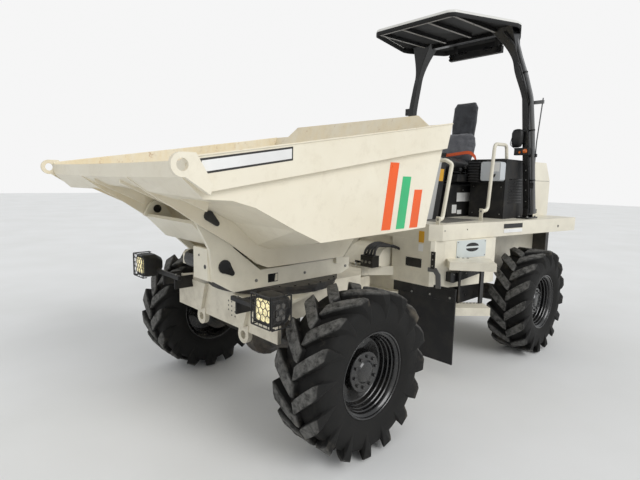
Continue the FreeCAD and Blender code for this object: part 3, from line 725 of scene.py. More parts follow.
# small fittings are gathered here, one mesh for each body and finish
SLOT_OF = {
    "skip": "skip_paint", "cream": "body_paint", "cream_grey": "body_paint", "frame_grey": "grey_metal", "white": "white",
    "black": "dark_metal", "chassis_black": "dark_metal", "plastic": "black_plastic", "grey_plastic": "black_plastic",
    "pale_plastic": "white", "rubber": "rubber", "steel": "steel", "dull_steel": "steel", "chrome": "chrome", "lamp": "lamp",
    "amber": "lamp", "red": "lamp", "sign": "white", "sign_edge": "dark_metal", "yellow": "white", "mirror": "chrome", "belt": "grey_fabric",
    "vinyl": "grey_fabric", "tread": "rubber", "rim": "dark_metal", "zinc": "steel",
}
KITS = {}


def kit(body, mat):
    return KITS.setdefault((body, mat), Shape())


# wheels: crisp lugs on a domed casing, and a stepped rim with its hub
TYRE_HALF = ((0.0, 0.447), (0.09, 0.444), (0.135, 0.438), (0.154, 0.424), (0.164, 0.405), (0.1695, 0.375),
             (0.1715, 0.345), (0.1705, 0.325), (0.1680, 0.308), (0.1655, 0.302), (0.1650, 0.294), (0.1620, 0.290),
             (0.1610, 0.280), (0.1585, 0.276), (0.157, 0.266), (0.150, 0.2565))
LUG_LINE = ((-0.010, 0.430, -0.005, 0.4860, 0.0, 5.6, 4.0), (0.014, 0.430, 0.014, 0.4895, 1.8, 6.0, 4.9),
            (0.080, 0.430, 0.080, 0.4895, 8.8, 6.2, 5.0), (0.142, 0.415, 0.150, 0.4885, 15.8, 6.2, 4.9),
            (0.150, 0.395, 0.1725, 0.4790, 18.2, 6.0, 4.3), (0.156, 0.370, 0.1797, 0.4200, 20.4, 5.2, 2.6),
            (0.160, 0.345, 0.1785, 0.3740, 21.8, 4.0, 1.5), (0.163, 0.318, 0.1715, 0.3280, 22.8, 2.2, 0.7))
RIM_ROWS = ((-0.1677, 0.116), (-0.164, 0.120), (0.008, 0.120), (0.012, 0.124), (0.012, 0.204), (-0.126, 0.222), (-0.146, 0.241),
            (-0.151, 0.248), (-0.151, 0.2555), (-0.145, 0.2560), (-0.128, 0.237), (0.128, 0.237), (0.145, 0.2560), (0.151, 0.2555),
            (0.152, 0.2495), (0.149, 0.2450), (0.141, 0.2430), (0.134, 0.2310), (0.128, 0.2265), (0.112, 0.2245), (0.107, 0.2185),
            (0.088, 0.2160), (0.083, 0.2105), (0.060, 0.2080), (0.055, 0.2030), (0.034, 0.2005), (0.028, 0.1960), (0.026, 0.1900),
            (0.026, 0.1300), (0.030, 0.1235), (0.079, 0.1225), (0.0845, 0.1180), (0.0850, 0.0680), (0.0885, 0.0640),
            (0.0930, 0.0600), (0.0952, 0.0540), (0.0958, 0.0060))
LUGS = 16
for tag, side, y in (("fl", 1, 0.0), ("fr", -1, 0.0), ("rl", 1, 2.49), ("rr", -1, 2.49)):
    centre = at(side * 0.87, y, 0.49)
    MAT["tyre_" + tag] = tyre_rubber("tyre_rubber_" + tag, centre)
    dress("tyre_" + tag, MAT["tyre_" + tag])
    form = Shape()
    form.turned(centre, (1, 0, 0), [(-x, r) for x, r in reversed(TYRE_HALF)] + list(TYRE_HALF[1:]), 96, True)
    for k in range(2 * LUGS):
        s = 1 if k % 2 else -1
        rows = []
        for x0, r0, x1, r1, turn, foot, top in LUG_LINE:
            row = []
            for x, r, w in ((x0, r0, -foot), (x1, r1, -top), (x1, r1, top), (x0, r0, foot)):
                a = math.radians(180.0 / LUGS * k + turn + w)
                row.append(centre + Vector((s * x, r * math.sin(a), r * math.cos(a))))
            rows.append(row)
        form.loft(rows)
    tyre = form.make("tyre_tread_" + tag, "wheel_" + tag, "tyre_" + tag, "tyre", 0.004)
    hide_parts("tyre_" + tag)
    form = Shape()
    form.turned(centre, (side, 0, 0), RIM_ROWS, 64)
    rim = form.make("rim_turned_" + tag, "wheel_" + tag, "rim", "dark_metal", 0.001)
    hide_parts("rim_" + tag)
    for k in range(10):
        a = math.radians(36.0 * k + 9.0)
        spot = Vector((side * 0.0848, 0.0915 * math.sin(a), 0.0915 * math.cos(a)))
        kit("wheel_" + tag, "rim").bolt(centre + spot, (side, 0, 0), 0.012)
    kit("wheel_" + tag, "dull_steel").turned(centre + Vector((side * 0.027, 0, 0.165)), (side, 0.0, 0.25), [(0, 0.005), (0.03, 0.004),
                                                                                                        (0.04, 0.003)], 10)


# canopy: a pressed shell with round corners, pale above its fold and black inside; the inside is darker than the black
# paint, as painted shade under the roof
def roof(x, y, z):
    a = math.radians(3.0)
    return at(x, 1.6 + (y - 1.6) * math.cos(a) - z * math.sin(a), 2.97 + (y - 1.6) * math.sin(a) + z * math.cos(a))


def roof_ring(inset, z):
    half = ((0.0, 1.60), (0.38, 1.60), (0.43, 1.64), (0.64, 2.37), (0.632, 2.46), (0.50, 2.76), (0.43, 2.90), (0.0, 2.90))
    line = arcs([Vector((x, y, 0.0)) for x, y in half], 0.055, 5)
    loop = line[:-1] + [Vector((-p.x, p.y, 0.0)) for p in reversed(line[1:])]
    return [roof(p.x * (1 - inset / 0.64), 2.25 + (p.y - 2.25) * (1 - inset / 0.65), z) for p in loop]


form = Shape()
form.loft([roof_ring(i, z) for i, z in ((0.014, 0.0498), (0.012, 0.044), (0.0095, 0.003), (0.007, 0.0005), (0.002, 0.0005),
                                        (0.0, 0.003), (0.0, 0.034), (0.001, 0.046), (0.005, 0.054), (0.012, 0.0585), (0.024, 0.0598))])
canopy = form.make("canopy_shell", "rear", "roof_black_and_shade", "white", smooth=True)
canopy.data.materials.append(MAT["white"])
for poly in canopy.data.polygons:
    p = poly.center
    if (p.z - 2.97) * math.cos(math.radians(3.0)) - (p.y - AXLE_Y - 1.6) * math.sin(math.radians(3.0)) > 0.036 and poly.normal.z > -0.3:
        poly.material_index = 1
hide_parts("canopy")
for x in (-0.39, -0.14, 0.14, 0.39):
    for y in (1.70, 2.02, 2.34):
        kit("rear", "dull_steel").bolt(roof(x, y, 0.0145), (0, 0.05, -1), 0.007)


# protection posts: a smooth box section that spreads into the canopy
def through(rows, steps):
    """A smooth line through rows of points, each row of equal count."""
    out = [rows[0], rows[1]]
    for i in range(1, len(rows) - 1):
        p0, p1, p2 = rows[i - 1], rows[i], rows[i + 1]
        p3 = rows[min(i + 2, len(rows) - 1)]
        if i == 1:
            p0 = [b + (a - b) * 0.2 for a, b in zip(p0, p1)]
        for k in range(1, steps + 1):
            t = k / steps
            out.append([0.5 * (2 * b + (c - a) * t + (2 * a - 5 * b + 4 * c - d) * t * t + (3 * b - a - 3 * c + d) * t ** 3)
                        for a, b, c, d in zip(p0, p1, p2, p3)])
    return out


def ceiling(y):
    return 2.97 + 0.05 / math.cos(math.radians(3.0)) + (y - 1.6) * math.tan(math.radians(3.0)) - 0.0004


POST_ROWS = ((0.710, 0.768, 2.630, 2.718, 1.290), (0.631, 0.689, 2.588, 2.676, 2.400), (0.561, 0.615, 2.547, 2.631, 2.640),
             (0.526, 0.580, 2.538, 2.622, 2.780), (0.455, 0.566, 2.500, 2.612, 2.910))
form = Shape()
for s in (1, -1):
    rows = [[at(s * x0, y0, z), at(s * x1, y0, z), at(s * x1, y1, z), at(s * x0, y1, z)] for x0, x1, y0, y1, z in POST_ROWS]
    rows.append([at(s * x, y, ceiling(y)) for x, y in ((0.330, 2.430), (0.553, 2.430), (0.553, 2.600), (0.330, 2.600))])
    form.loft(through(rows, 6))
    form.block((min(s * 0.672, s * 0.790), 2.560, 1.252), (max(s * 0.672, s * 0.790), 2.800, 1.266))
    for x, y in ((0.690, 2.585), (0.772, 2.585), (0.690, 2.775), (0.772, 2.775)):
        kit("rear", "dull_steel").bolt(at(s * x, y, 1.266), (0, 0, 1), 0.012)
    for y in (2.612, 2.736):
        form.prism([at(s * 0.712, y, 1.266), at(s * 0.766, y, 1.266), at(s * 0.762, y, 1.345), at(s * 0.716, y, 1.345)], (0, 0.008, 0))
    for x, y in ((0.36, 2.455), (0.52, 2.455), (0.36, 2.575), (0.52, 2.575)):
        kit("rear", "dull_steel").bolt(at(s * x, y, ceiling(y) - 0.012), (0, 0, -1), 0.009)
form.prism([at(-0.4, 2.51, ceiling(2.51) - 0.04), at(-0.4, 2.59, ceiling(2.59) - 0.04), at(-0.4, 2.59, ceiling(2.59)),
            at(-0.4, 2.51, ceiling(2.51))], (0.8, 0, 0))
posts = form.make("post_frame", "rear", "black", "dark_metal", 0.007)
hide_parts("protection_posts")

# handrails with welded feet
form = Shape()
for s in (1, -1):
    form.tube([at(s * 0.6, 1.268, 1.292), at(s * 0.6, 1.328, 1.296), at(s * 0.6, 1.430, 1.74), at(s * 0.56, 1.400, 1.77),
               at(s * 0.302, 1.558, 1.77)], 0.016, 0.028)
    form.tube([at(s * 0.6, 1.985, 1.335), at(s * 0.6, 2.100, 1.342), at(s * 0.6, 2.160, 1.95), at(s * 0.6, 2.400, 1.955),
               at(s * 0.6, 2.428, 1.80)], 0.016, 0.045)
    for y, z in ((1.264, 1.292), (1.981, 1.335)):
        form.block((min(s * 0.583, s * 0.617), y - 0.004, 1.2523), (max(s * 0.583, s * 0.617), y + 0.004, z + 0.024))
        form.turned(at(s * 0.6, y + 0.004, z), (0, 1, 0), [(0, 0.024), (0.010, 0.024)], 24)
        kit("rear", "dull_steel").bolt(at(s * 0.6, y - 0.004, z), (0, -1, 0), 0.009)
rails = form.make("rail_tubes", "rear", "cream", "body_paint", 0.002, True)
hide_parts("handrails")

# steering wheel and column
hub = at(0, 1.87, 1.95)
tilt = Vector((0, 0.447, 0.894)).normalized()
side_way = Vector((1, 0, 0))
up_way = tilt.cross(side_way)
form = Shape()
ring_rows = []
for j in range(12):
    a = 2.0 * math.pi * j / 12
    ring_rows.append((0.014 * math.sin(a), 0.180 + 0.014 * math.cos(a)))
form.turned(hub, tilt, ring_rows, 64, True)
form.turned(hub, tilt, [(-0.17, 0.03), (-0.12, 0.036), (-0.05, 0.026), (-0.02, 0.030), (-0.012, 0.048), (0.008, 0.050),
                        (0.016, 0.040), (0.018, 0.004)], 32)
for k in range(3):
    a = math.radians(90.0 + 120.0 * k)
    way = side_way * math.sin(a) + up_way * math.cos(a)
    wide = tilt.cross(way)
    row = [[hub + way * t + wide * (w * sgn) + tilt * (h + off) for sgn, h in ((-1, -0.004), (1, -0.004), (1, 0.004), (-1, 0.004))]
           for t, w, off in ((0.03, 0.022, 0.0), (0.09, 0.015, -0.006), (0.14, 0.013, -0.004), (0.176, 0.016, 0.0))]
    form.loft(row)
wheel = form.make("steering_ring", "rear", "plastic", "black_plastic", 0.002)
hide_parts("steering_wheel")

# seat base: bellows of rubber over a box
form = Shape()
rows = []
for k in range(49):
    t = k / 48.0
    push = 0.012 * math.cos(t * math.pi * 10.0)
    rows.append([at(0, 2.325, 1.569 + t * 0.150) + Vector((a, b, 0)) for a, b in soft_ring(0.204 + push, 0.232 + push, 9.0, 64)])
form.loft(rows)
bellows = form.make("seat_bellows", "rear", "rubber", "rubber", smooth=True)
form = Shape()
form.block((-0.24, 2.0, 1.252), (0.24, 2.6, 1.569))
seat_box = form.make("seat_box", "rear", "plastic", "black_plastic", 0.008)
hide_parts("seat_base")

# rear frame and deck: panels, plates, blank labels and fittings
def disc(body, mat, spot, way, r, high=0.0012, sides=20):
    kit(body, mat).turned(Vector(spot), way, [(-0.002, r), (high, r)], sides)


DOWN = (0, 0, -1)
UP = (0, 0, 1)
FORWARD = (0, -1, 0)
for s in (1, -1):
    front = Wall((0.0, 1.203), (1.0, 1.203), s)
    flank = Wall((0.64, 1.33), (0.78, 1.86), s)
    edge_wall = Wall((0.64, 1.285), (0.985, 3.30), s)
    kit("rear", "cream").prism([at(s * x, y, 0.745) for x, y in ((0.205, 1.203), (0.585, 1.203), (0.61, 1.226), (0.61, 1.249),
                                                                (0.205, 1.249))], (0, 0, 0.3745))
    kit("rear", "black").plate(Wall((0.0, 1.2375), (1.0, 1.2375), s), rounded(0.214, 0.808, 0.652, 0.744, 0.004), -0.001, 0.002)
    for x, z in ((0.404, 0.669), (0.581, 0.679), (0.764, 0.683)):
        kit("rear", "steel").bolt(at(s * x, 1.2355, z), FORWARD, 0.009)
    kit("rear", "black").block((min(s * 0.44, s * 0.69), 1.50, 0.575), (max(s * 0.44, s * 0.69), 1.92, 0.7245))
    kit("rear", "black").plate(edge_wall, rounded(0.806, 1.096, 1.187, 1.229, 0.003), -0.001, 0.0008)
    kit("rear", "sign").plate(edge_wall, rounded(0.810, 1.092, 1.148, 1.180, 0.003), -0.001, 0.0030)
    disc("rear", "black", edge_wall.point(1.718, 1.175), edge_wall.normal(), 0.013)
    disc("rear", "black", edge_wall.point(0.30, 1.201), edge_wall.normal(), 0.006)
    kit("rear", "dull_steel").bolt(edge_wall.point(0.022, 1.201), edge_wall.normal(), 0.006)
    kit("rear", "black").plate(flank, [(0.026, 0.862), (0.425, 0.858), (0.400, 0.838), (0.200, 0.800), (0.060, 0.774), (0.026, 0.782)],
                               -0.001, 0.055)
    for u in (0.06, 0.20, 0.36):
        kit("rear", "dull_steel").bolt(flank.point(u, 0.845, 0.055), flank.normal(), 0.006)
    bar_form = kit("rear", "tread")
    bar_form.block((min(s * 0.305, s * 0.575), 1.45, 1.2515), (max(s * 0.305, s * 0.575), 1.745, 1.254))
    for i in range(6):
        for j in range(6):
            x = s * (0.33 + 0.045 * i)
            y = 1.475 + 0.048 * j
            turn = 1 if (i + j) % 2 else -1
            kit("rear", "dull_steel").prism([at(x - 0.013, y - 0.005 * turn, 1.2538), at(x, y - 0.004, 1.2538), at(x + 0.013, y + 0.005 * turn, 1.2538),
                                             at(x, y + 0.004, 1.2538)], (0, 0, 0.0016))
    for quad, top in ((((0.745, 1.235), (1.022, 1.462), (0.863, 1.655), (0.586, 1.428)), 0.970),
                      (((0.800, 1.270), (0.985, 1.480), (0.860, 1.590), (0.680, 1.390)), 0.605)):
        a, b, c, d = [Vector((s * x, y, 0)) for x, y in quad]
        for i in range(9):
            for j in range(4):
                if j < 3 or (top > 0.9 and i > 4):
                    continue
                u = 0.08 + 0.105 * i
                v = 0.14 + 0.24 * j
                p = (a * (1 - u) + b * u) * (1 - v) + (d * (1 - u) + c * u) * v
                way = (b - a).normalized() * 0.009
                out = (d - a).normalized() * 0.004
                low = [at(q.x, q.y, top - 0.001) for q in (p - way - out, p + way - out, p + way + out, p - way + out)]
                kit("rear", "black").prism(low, (0, 0, 0.0045))
    kit("rear", "black").block((min(s * 0.846, s * 0.862), 1.535, 0.606), (max(s * 0.846, s * 0.862), 1.588, 0.904))
    hood_side = Wall((0.65, 2.80), (0.65, 3.43), s)
    kit("hood", "black").plate(hood_side, rounded(0.02, 0.61, 1.6225, 1.6265, 0.0015), -0.001, 0.0006)
    kit("hood", "black").plate(hood_side, rounded(0.26, 0.31, 1.285, 1.325, 0.008), -0.001, 0.010)
    kit("hood", "dull_steel").turned(hood_side.point(0.285, 1.305, 0.010), hood_side.normal(), [(0, 0.012), (0.006, 0.010)], 16)
    side_wall = Wall((0.645, 2.33), (0.645, 2.79), s)
    for k in range(9):
        kit("rear", "black").plate(side_wall, rounded(0.08, 0.38, 1.40 + 0.028 * k, 1.413 + 0.028 * k, 0.005), -0.001, 0.003)
    kit("rear", "plastic").plate(Wall((0.0, 2.33), (1.0, 2.33), s), rounded(0.31, 0.63, 1.275, 1.575, 0.012), -0.001, 0.005)
    for x, z in ((0.33, 1.295), (0.61, 1.295), (0.33, 1.555), (0.61, 1.555)):
        kit("rear", "dull_steel").bolt(at(s * x, 2.325, z), FORWARD, 0.006)

front = Wall((0.0, 1.203), (1.0, 1.203))
kit("rear", "yellow").plate(front, rounded(0.468, 0.520, 1.098, 1.192, 0.004), -0.0022, 0.0008)
kit("rear", "sign").plate(front, rounded(0.470, 0.515, 1.026, 1.085, 0.003), -0.0010, 0.0008)
kit("rear", "black").plate(front, rounded(0.350, 0.506, 0.888, 0.964, 0.003), -0.0010, 0.0015)
for x in (0.357, 0.499):
    for z in (0.895, 0.957):
        kit("rear", "steel").turned(at(x, 1.2015, z), FORWARD, [(0, 0.003), (0.002, 0.002)], 8)
kit("rear", "black").block((0.600, 1.190, 0.900), (0.634, 1.204, 1.038))
for z in (0.925, 0.975, 1.020):
    kit("rear", "steel").turned(at(0.617, 1.190, z), FORWARD, [(0, 0.006), (0.003, 0.005)], 12)
kit("rear", "frame_grey").plate(Wall((0.0, 1.192), (1.0, 1.192)), [(0.575, 0.872), (0.575, 0.906), (0.652, 0.912), (0.692, 0.862), (0.702, 0.752),
                                (0.656, 0.748), (0.648, 0.850), (0.628, 0.874)], -0.008, 0.0)
flank = Wall((0.64, 1.33), (0.78, 1.86))
kit("rear", "zinc").plate(flank, rounded(0.127, 0.470, 0.965, 1.112, 0.010), -0.001, 0.005)
# the slots in the zinc plate are half-oval black plates: painted shade for the openings
for z, way in ((1.060, 1), (1.044, -1)):
    slot_line = [(0.307 + 0.074 * math.cos(math.radians(a)), z + way * 0.030 * math.sin(math.radians(a))) for a in range(0, 181, 12)]
    kit("rear", "black").plate(flank, slot_line, 0.004, 0.0056)
kit("rear", "dull_steel").bolt(flank.point(0.33, 0.93), flank.normal(), 0.007)
for u, z in ((0.140, 0.978), (0.457, 0.978), (0.140, 1.099), (0.457, 1.099)):
    kit("rear", "dull_steel").bolt(flank.point(u, z, 0.005), flank.normal(), 0.005)
kit("rear", "tread").block((-0.575, 1.755, 1.2515), (0.575, 1.985, 1.254))
for i in range(25):
    for j in range(4):
        x = -0.54 + 0.045 * i
        y = 1.785 + 0.052 * j
        turn = 1 if (i + j) % 2 else -1
        kit("rear", "dull_steel").prism([at(x - 0.013, y - 0.005 * turn, 1.2538), at(x, y - 0.004, 1.2538), at(x + 0.013, y + 0.005 * turn, 1.2538),
                                         at(x, y + 0.004, 1.2538)], (0, 0, 0.0016))
kit("rear", "plastic").turned(at(-0.76, 2.05, 1.2515), UP, [(0, 0.052), (0.022, 0.052), (0.028, 0.046)], 28)

# dashboard: pale front cover, gauge, switches, pedals
DASH_COVER = ((1.537, 1.256), (1.694, 1.806), (1.758, 1.812), (1.764, 1.796), (1.648, 1.256))
kit("rear", "grey_plastic").prism([at(-0.303, y, z) for y, z in DASH_COVER], (0.606, 0, 0))
panel = Vector((0, 0.06, -0.035)).normalized()
dash_out = Vector((0, 0.504, 0.864))
for x, r in ((-0.02, 0.045), (0.085, 0.026), (-0.125, 0.026)):
    spot = at(x, 1.8205, 1.7972)
    kit("rear", "black").turned(spot, dash_out, [(-0.004, r + 0.006), (0.008, r + 0.006), (0.010, r + 0.001)], 32)
    kit("rear", "sign_edge").turned(spot, dash_out, [(0.0, r), (0.0085, r)], 32)
    kit("rear", "sign").prism([spot + dash_out * 0.0086 + v for v in (Vector((-0.0015, 0, 0)), Vector((0.0015, 0, 0)),
                                                                  Vector((0.7 * r, 0.3 * r, -0.17 * r)))], dash_out * 0.0008)
for k in range(5):
    x = 0.150 + 0.028 * k
    spot = at(x, 1.8205, 1.7972)
    kit("rear", "black").prism([spot + Vector((a, 0, 0)) + panel * b for a, b in ((-0.010, -0.018), (0.010, -0.018), (0.010, 0.018),
                                                                              (-0.010, 0.018))], dash_out * 0.009)
kit("rear", "yellow").plate(Wall((0.30, 1.5), (0.30, 2.0)), [(0.215, 1.60), (0.215, 1.71), (0.310, 1.71), (0.295, 1.60)], -0.001, 0.0010)
for x in (-0.12, 0.12):
    kit("rear", "black").prism([at(x - 0.008, 1.76, 1.40), at(x + 0.008, 1.76, 1.40), at(x + 0.008, 1.835, 1.33), at(x - 0.008, 1.835, 1.33)],
                               (0, 0.012, 0.012))
    kit("rear", "rubber").prism([at(x - 0.035, 1.820, 1.300), at(x + 0.035, 1.820, 1.300), at(x + 0.035, 1.850, 1.375),
                                 at(x - 0.035, 1.850, 1.375)], (0, 0.014, -0.006))
kit("rear", "plastic").tube([hub - tilt * 0.06, hub - tilt * 0.06 + Vector((0.12, -0.01, 0.01)), hub - tilt * 0.06 + Vector((0.17, 0.0, 0.03))],
                            0.006, 0.02, 10, 4)

# round the seat: side console with levers, belt, blank labels, canister
side_box = Wall((0.24, 2.0), (0.24, 2.6))
for u0, u1, z0, z1 in ((0.168, 0.515, 1.402, 1.490), (0.087, 0.172, 1.288, 1.372), (0.190, 0.272, 1.276, 1.318)):
    kit("rear", "sign").plate(side_box, rounded(u0, u1, z0, z1, 0.003), -0.001, 0.0010)
kit("rear", "dull_steel").bolt(side_box.point(0.28, 1.516), (1, 0, 0), 0.008)
kit("rear", "plastic").block((0.235, 2.06, 1.60), (0.295, 2.30, 1.668))
for y, high in ((2.145, 1.722), (2.250, 1.748)):
    kit("rear", "black").turned(at(0.272, y, 1.665), UP, [(0, 0.012), (0.006, 0.006), (high - 1.700, 0.005)], 12)
    kit("rear", "plastic").turned(at(0.272, y, high - 0.028), UP, [(0, 0.006), (0.008, 0.016), (0.024, 0.019), (0.036, 0.013), (0.040, 0.004)], 16)
form = Shape()
rows = []
for k in range(41):
    t = k / 40.0
    push = 0.008 * math.cos(t * math.pi * 16.0)
    rows.append([at(0.365, 2.280, 1.598 + 0.212 * t) + Vector((a, b, 0)) for a, b in soft_ring(0.056 + push, 0.048 + push, 7.0, 32)])
form.loft(rows)
form.make("air_bellows", "rear", "rubber", "rubber", smooth=True)
kit("rear", "pale_plastic").plate(Wall((0.0, 2.33), (1.0, 2.33)), rounded(0.445, 0.640, 1.612, 1.792, 0.022, 5), -0.001, 0.105)
kit("rear", "sign").plate(Wall((0.0, 2.225), (1.0, 2.225)), rounded(0.545, 0.628, 1.700, 1.782, 0.004), -0.001, 0.0010)
kit("rear", "black").plate(Wall((0.0, 2.225), (1.0, 2.225)), [(0.560, 1.640), (0.575, 1.672), (0.598, 1.682), (0.588, 1.648)], -0.001, 0.0010)
kit("rear", "plastic").turned(at(0.50, 2.277, 1.790), UP, [(0, 0.026), (0.018, 0.026), (0.022, 0.022)], 24)


def strap(name, points, wide, thick, mat):
    """Flat webbing on its edge through points, with its ends turned down."""
    curve = through([[Vector(p)] for p in points], 6)
    line = [row[0] for row in curve]
    rows = []
    for i, p in enumerate(line):
        way = (line[min(i + 1, len(line) - 1)] - line[max(i - 1, 0)]).normalized()
        up = (Vector((0, 0.25, 1)) - way * way.dot(Vector((0, 0.25, 1)))).normalized()
        out = way.cross(up)
        rows.append([p + up * a + out * b for a, b in ((-wide, -thick), (wide, -thick), (wide, thick), (-wide, thick))])
    form = Shape()
    form.loft(rows)
    return form.make(name, "rear", mat, "grey_fabric", 0.0006)


strap("seat_belt", [at(x, y, z) for x, y, z in ((0.262, 2.470, 1.800), (0.262, 2.440, 1.850), (0.225, 2.392, 1.893), (0.110, 2.372, 1.884),
                                             (0.0, 2.368, 1.872), (-0.120, 2.372, 1.870), (-0.225, 2.392, 1.870), (-0.262, 2.440, 1.840),
                                             (-0.262, 2.470, 1.800))], 0.017, 0.0012, "belt")
for s in (1, -1):
    kit("rear", "dull_steel").block((min(s * 0.256, s * 0.268), 2.455, 1.735), (max(s * 0.256, s * 0.268), 2.485, 1.815))
kit("rear", "plastic").block((-0.085, 2.358, 1.848), (-0.025, 2.380, 1.896))

# near mirror folded against its post, indicator, cable rod and clamps; a stub on the far post
form = Shape()
rows = []
for t, a, b in ((-0.088, 0.020, 0.012), (-0.080, 0.046, 0.022), (-0.050, 0.058, 0.030), (0.050, 0.058, 0.032), (0.080, 0.046, 0.022),
                (0.088, 0.020, 0.012)):
    rows.append([at(0.622, 2.575, 2.030 + t) + Vector((0.94 * p + 0.34 * q, -0.34 * p + 0.94 * q, 0)) for p, q in soft_ring(a, b, 3.0, 32)])
form.loft(rows)
form.make("mirror_head", "rear", "plastic", "black_plastic", smooth=True)
kit("rear", "black").tube([at(0.690, 2.600, 2.10), at(0.640, 2.560, 2.10), at(0.625, 2.575, 2.02)], 0.009, 0.02, 12, 4)
kit("rear", "plastic").block((0.600, 2.572, 1.868), (0.742, 2.618, 1.938))
kit("rear", "amber").turned(at(0.706, 2.573, 1.905), FORWARD, [(0, 0.022), (0.010, 0.020), (0.016, 0.010)], 24)
kit("rear", "amber").turned(at(0.655, 2.573, 1.895), FORWARD, [(0, 0.012), (0.006, 0.010)], 20)
kit("rear", "plastic").tube([at(0.603, 2.58, 2.09), at(0.575, 2.56, 2.04), at(0.560, 2.56, 1.97), at(0.605, 2.58, 1.93)], 0.0035, 0.03, 8, 4)
kit("rear", "plastic").tube([at(0.690, 2.585, 2.14), at(0.735, 2.56, 2.04), at(0.730, 2.57, 1.96), at(0.700, 2.60, 1.935)], 0.0035, 0.03, 8, 4)
kit("rear", "frame_grey").tube([at(0.803, 2.660, 2.405), at(0.775, 2.660, 2.0), at(0.770, 2.660, 1.60)], 0.006, 0.05, 10, 3)
kit("rear", "frame_grey").block((0.680, 2.648, 2.352), (0.812, 2.672, 2.384))
kit("rear", "plastic").block((0.715, 2.646, 1.850), (0.786, 2.674, 1.882))
kit("rear", "plastic").block((0.730, 2.644, 1.548), (0.782, 2.676, 1.604))
for z in (1.72, 1.63, 1.53, 1.42):
    kit("rear", "dull_steel").bolt(at(0.712 + (1.72 - z) * 0.06, 2.614 + (1.72 - z) * 0.04, z), FORWARD, 0.006)
kit("rear", "plastic").block((-0.748, 2.605, 2.362), (-0.640, 2.640, 2.438))
form = Shape()
form.tube([at(0.700, 2.578, 2.36), at(0.640, 2.535, 2.62), at(0.560, 2.490, 2.90), at(0.480, 2.430, 3.02)], 0.007, 0.10, 10, 6)
form.make("post_cable", "rear", "plastic", "black_plastic", smooth=True)
kit("rear", "frame_grey").tube([at(0.528, 2.560, 3.022), at(0.590, 2.585, 2.80), at(0.652, 2.600, 2.62), at(0.708, 2.622, 2.41),
                           at(0.738, 2.640, 2.10), at(0.770, 2.668, 1.60), at(0.790, 2.690, 1.30)], 0.019, 0.5, 16, 6)
for x, y, z in ((0.643, 2.598, 2.645), (0.738, 2.640, 2.10), (0.768, 2.667, 1.62)):
    kit("rear", "plastic").turned(at(x, y, z), (-0.14, -0.08, 1), [(0, 0.0225), (0.014, 0.0225)], 20)
    kit("rear", "plastic").block((x - 0.060, y - 0.006, z), (x, y + 0.020, z + 0.012))
for x, y, z in ((0.672, 2.580, 2.46), (0.612, 2.530, 2.70)):
    kit("rear", "black").turned(at(x, y - 0.012, z), (-0.25, -0.15, 1), [(0, 0.012), (0.012, 0.012)], 12)

# lamp bar under the canopy's rear edge
for s in (1, -1):
    for dx in (-0.018, 0.018):
        for dz in (-0.017, 0.017):
            spot = at(s * 0.272 + dx, 2.7785, 2.968 + dz)
            kit("rear", "black").turned(spot, FORWARD, [(0, 0.0155), (0.009, 0.0155), (0.009, 0.0125)], 20)
            kit("rear", "grey_plastic").turned(spot, FORWARD, [(0, 0.012), (0.007, 0.011)], 20)
    kit("rear", "black").block((min(s * 0.10, s * 0.19), 2.760, 2.985), (max(s * 0.10, s * 0.19), 2.782, 3.012))
    kit("rear", "red").turned(at(s * 0.18, 2.8215, 2.965), (0, 1, 0), [(0, 0.020), (0.006, 0.018)], 24)

# rear end: lamp lenses, blank plate, louvre mesh, handle
for s in (1, -1):
    for x0, x1, mat in ((0.440, 0.482, "amber"), (0.488, 0.530, "red"), (0.536, 0.580, "sign")):
        kit("rear", mat).block((min(s * x0, s * x1), 3.464, 0.970), (max(s * x0, s * x1), 3.4695, 1.030))
    kit("rear", "rubber").block((min(s * 0.615, s * 0.690), 3.398, 0.800), (max(s * 0.615, s * 0.690), 3.420, 0.980))
kit("rear", "sign").plate(Wall((0.26, 3.4695), (-0.26, 3.4695)), rounded(0.0, 0.52, 0.905, 1.015, 0.006), -0.003, 0.0)
kit("hood", "black").block((-0.455, 3.402, 1.320), (0.455, 3.408, 1.650))
kit("hood", "black").tube([at(-0.12, 3.428, 1.72), at(-0.12, 3.455, 1.72), at(0.12, 3.455, 1.72), at(0.12, 3.428, 1.72)], 0.008, 0.012, 12, 4)
for x in (-0.36, 0.36):
    kit("rear", "black").block((x - 0.05, 2.786, 1.812), (x + 0.05, 2.800, 1.842))

# front end: punched holes, a flange hole and a square hole drawn in black as painted shade, slewing bolts, bolts of the
# lamp arms
for s in (1, -1):
    for x in (0.3875, 0.5675):
        kit("front", "dull_steel").bolt(at(s * x, -0.495, 0.9015), UP, 0.009)
# the punched holes are black discs laid on the head plate: painted shade for the holes' dark insides
for i in range(3):
    for j in range(4):
        if (i, j) not in ((0, 0), (2, 3)):
            disc("front", "black", at(0.085 + 0.038 * i, -0.366, 0.705 + 0.030 * j), FORWARD, 0.0065, 0.0006, 12)
# the first black disc stands for the flange's hole: painted shade
disc("slew", "black", at(0.272, -0.640, 1.079), FORWARD, 0.013)
disc("slew", "black", at(0.205, -0.640, 1.140), FORWARD, 0.007)
# the square hole in the console side: a black plate of painted shade, with a cream patch on it for the hole's lit inner
# wall
console = Wall((0.326, -0.229), (0.326, -0.149))
kit("slew", "black").plate(console, rounded(0.0, 0.080, 0.938, 0.993, 0.004), -0.001, 0.0008)
kit("slew", "cream_grey").plate(console, [(0.052, 0.943), (0.077, 0.943), (0.077, 0.988), (0.060, 0.988)], 0.0, 0.0012)
for k in range(28):
    a = 2.0 * math.pi * (k + 0.5) / 28
    x = 0.455 * math.sin(a)
    y = 0.06 + 0.455 * math.cos(a)
    if abs(x) > 0.34 or y > 0.53:
        kit("slew", "black").bolt(at(x, y, 0.9148), UP, 0.009)
for s in (1, -1):
    for y in (-0.30, 0.10, 0.50):
        kit("slew", "dull_steel").bolt(at(s * 0.326, y - 0.02, 0.965), (s, 0, 0), 0.010)

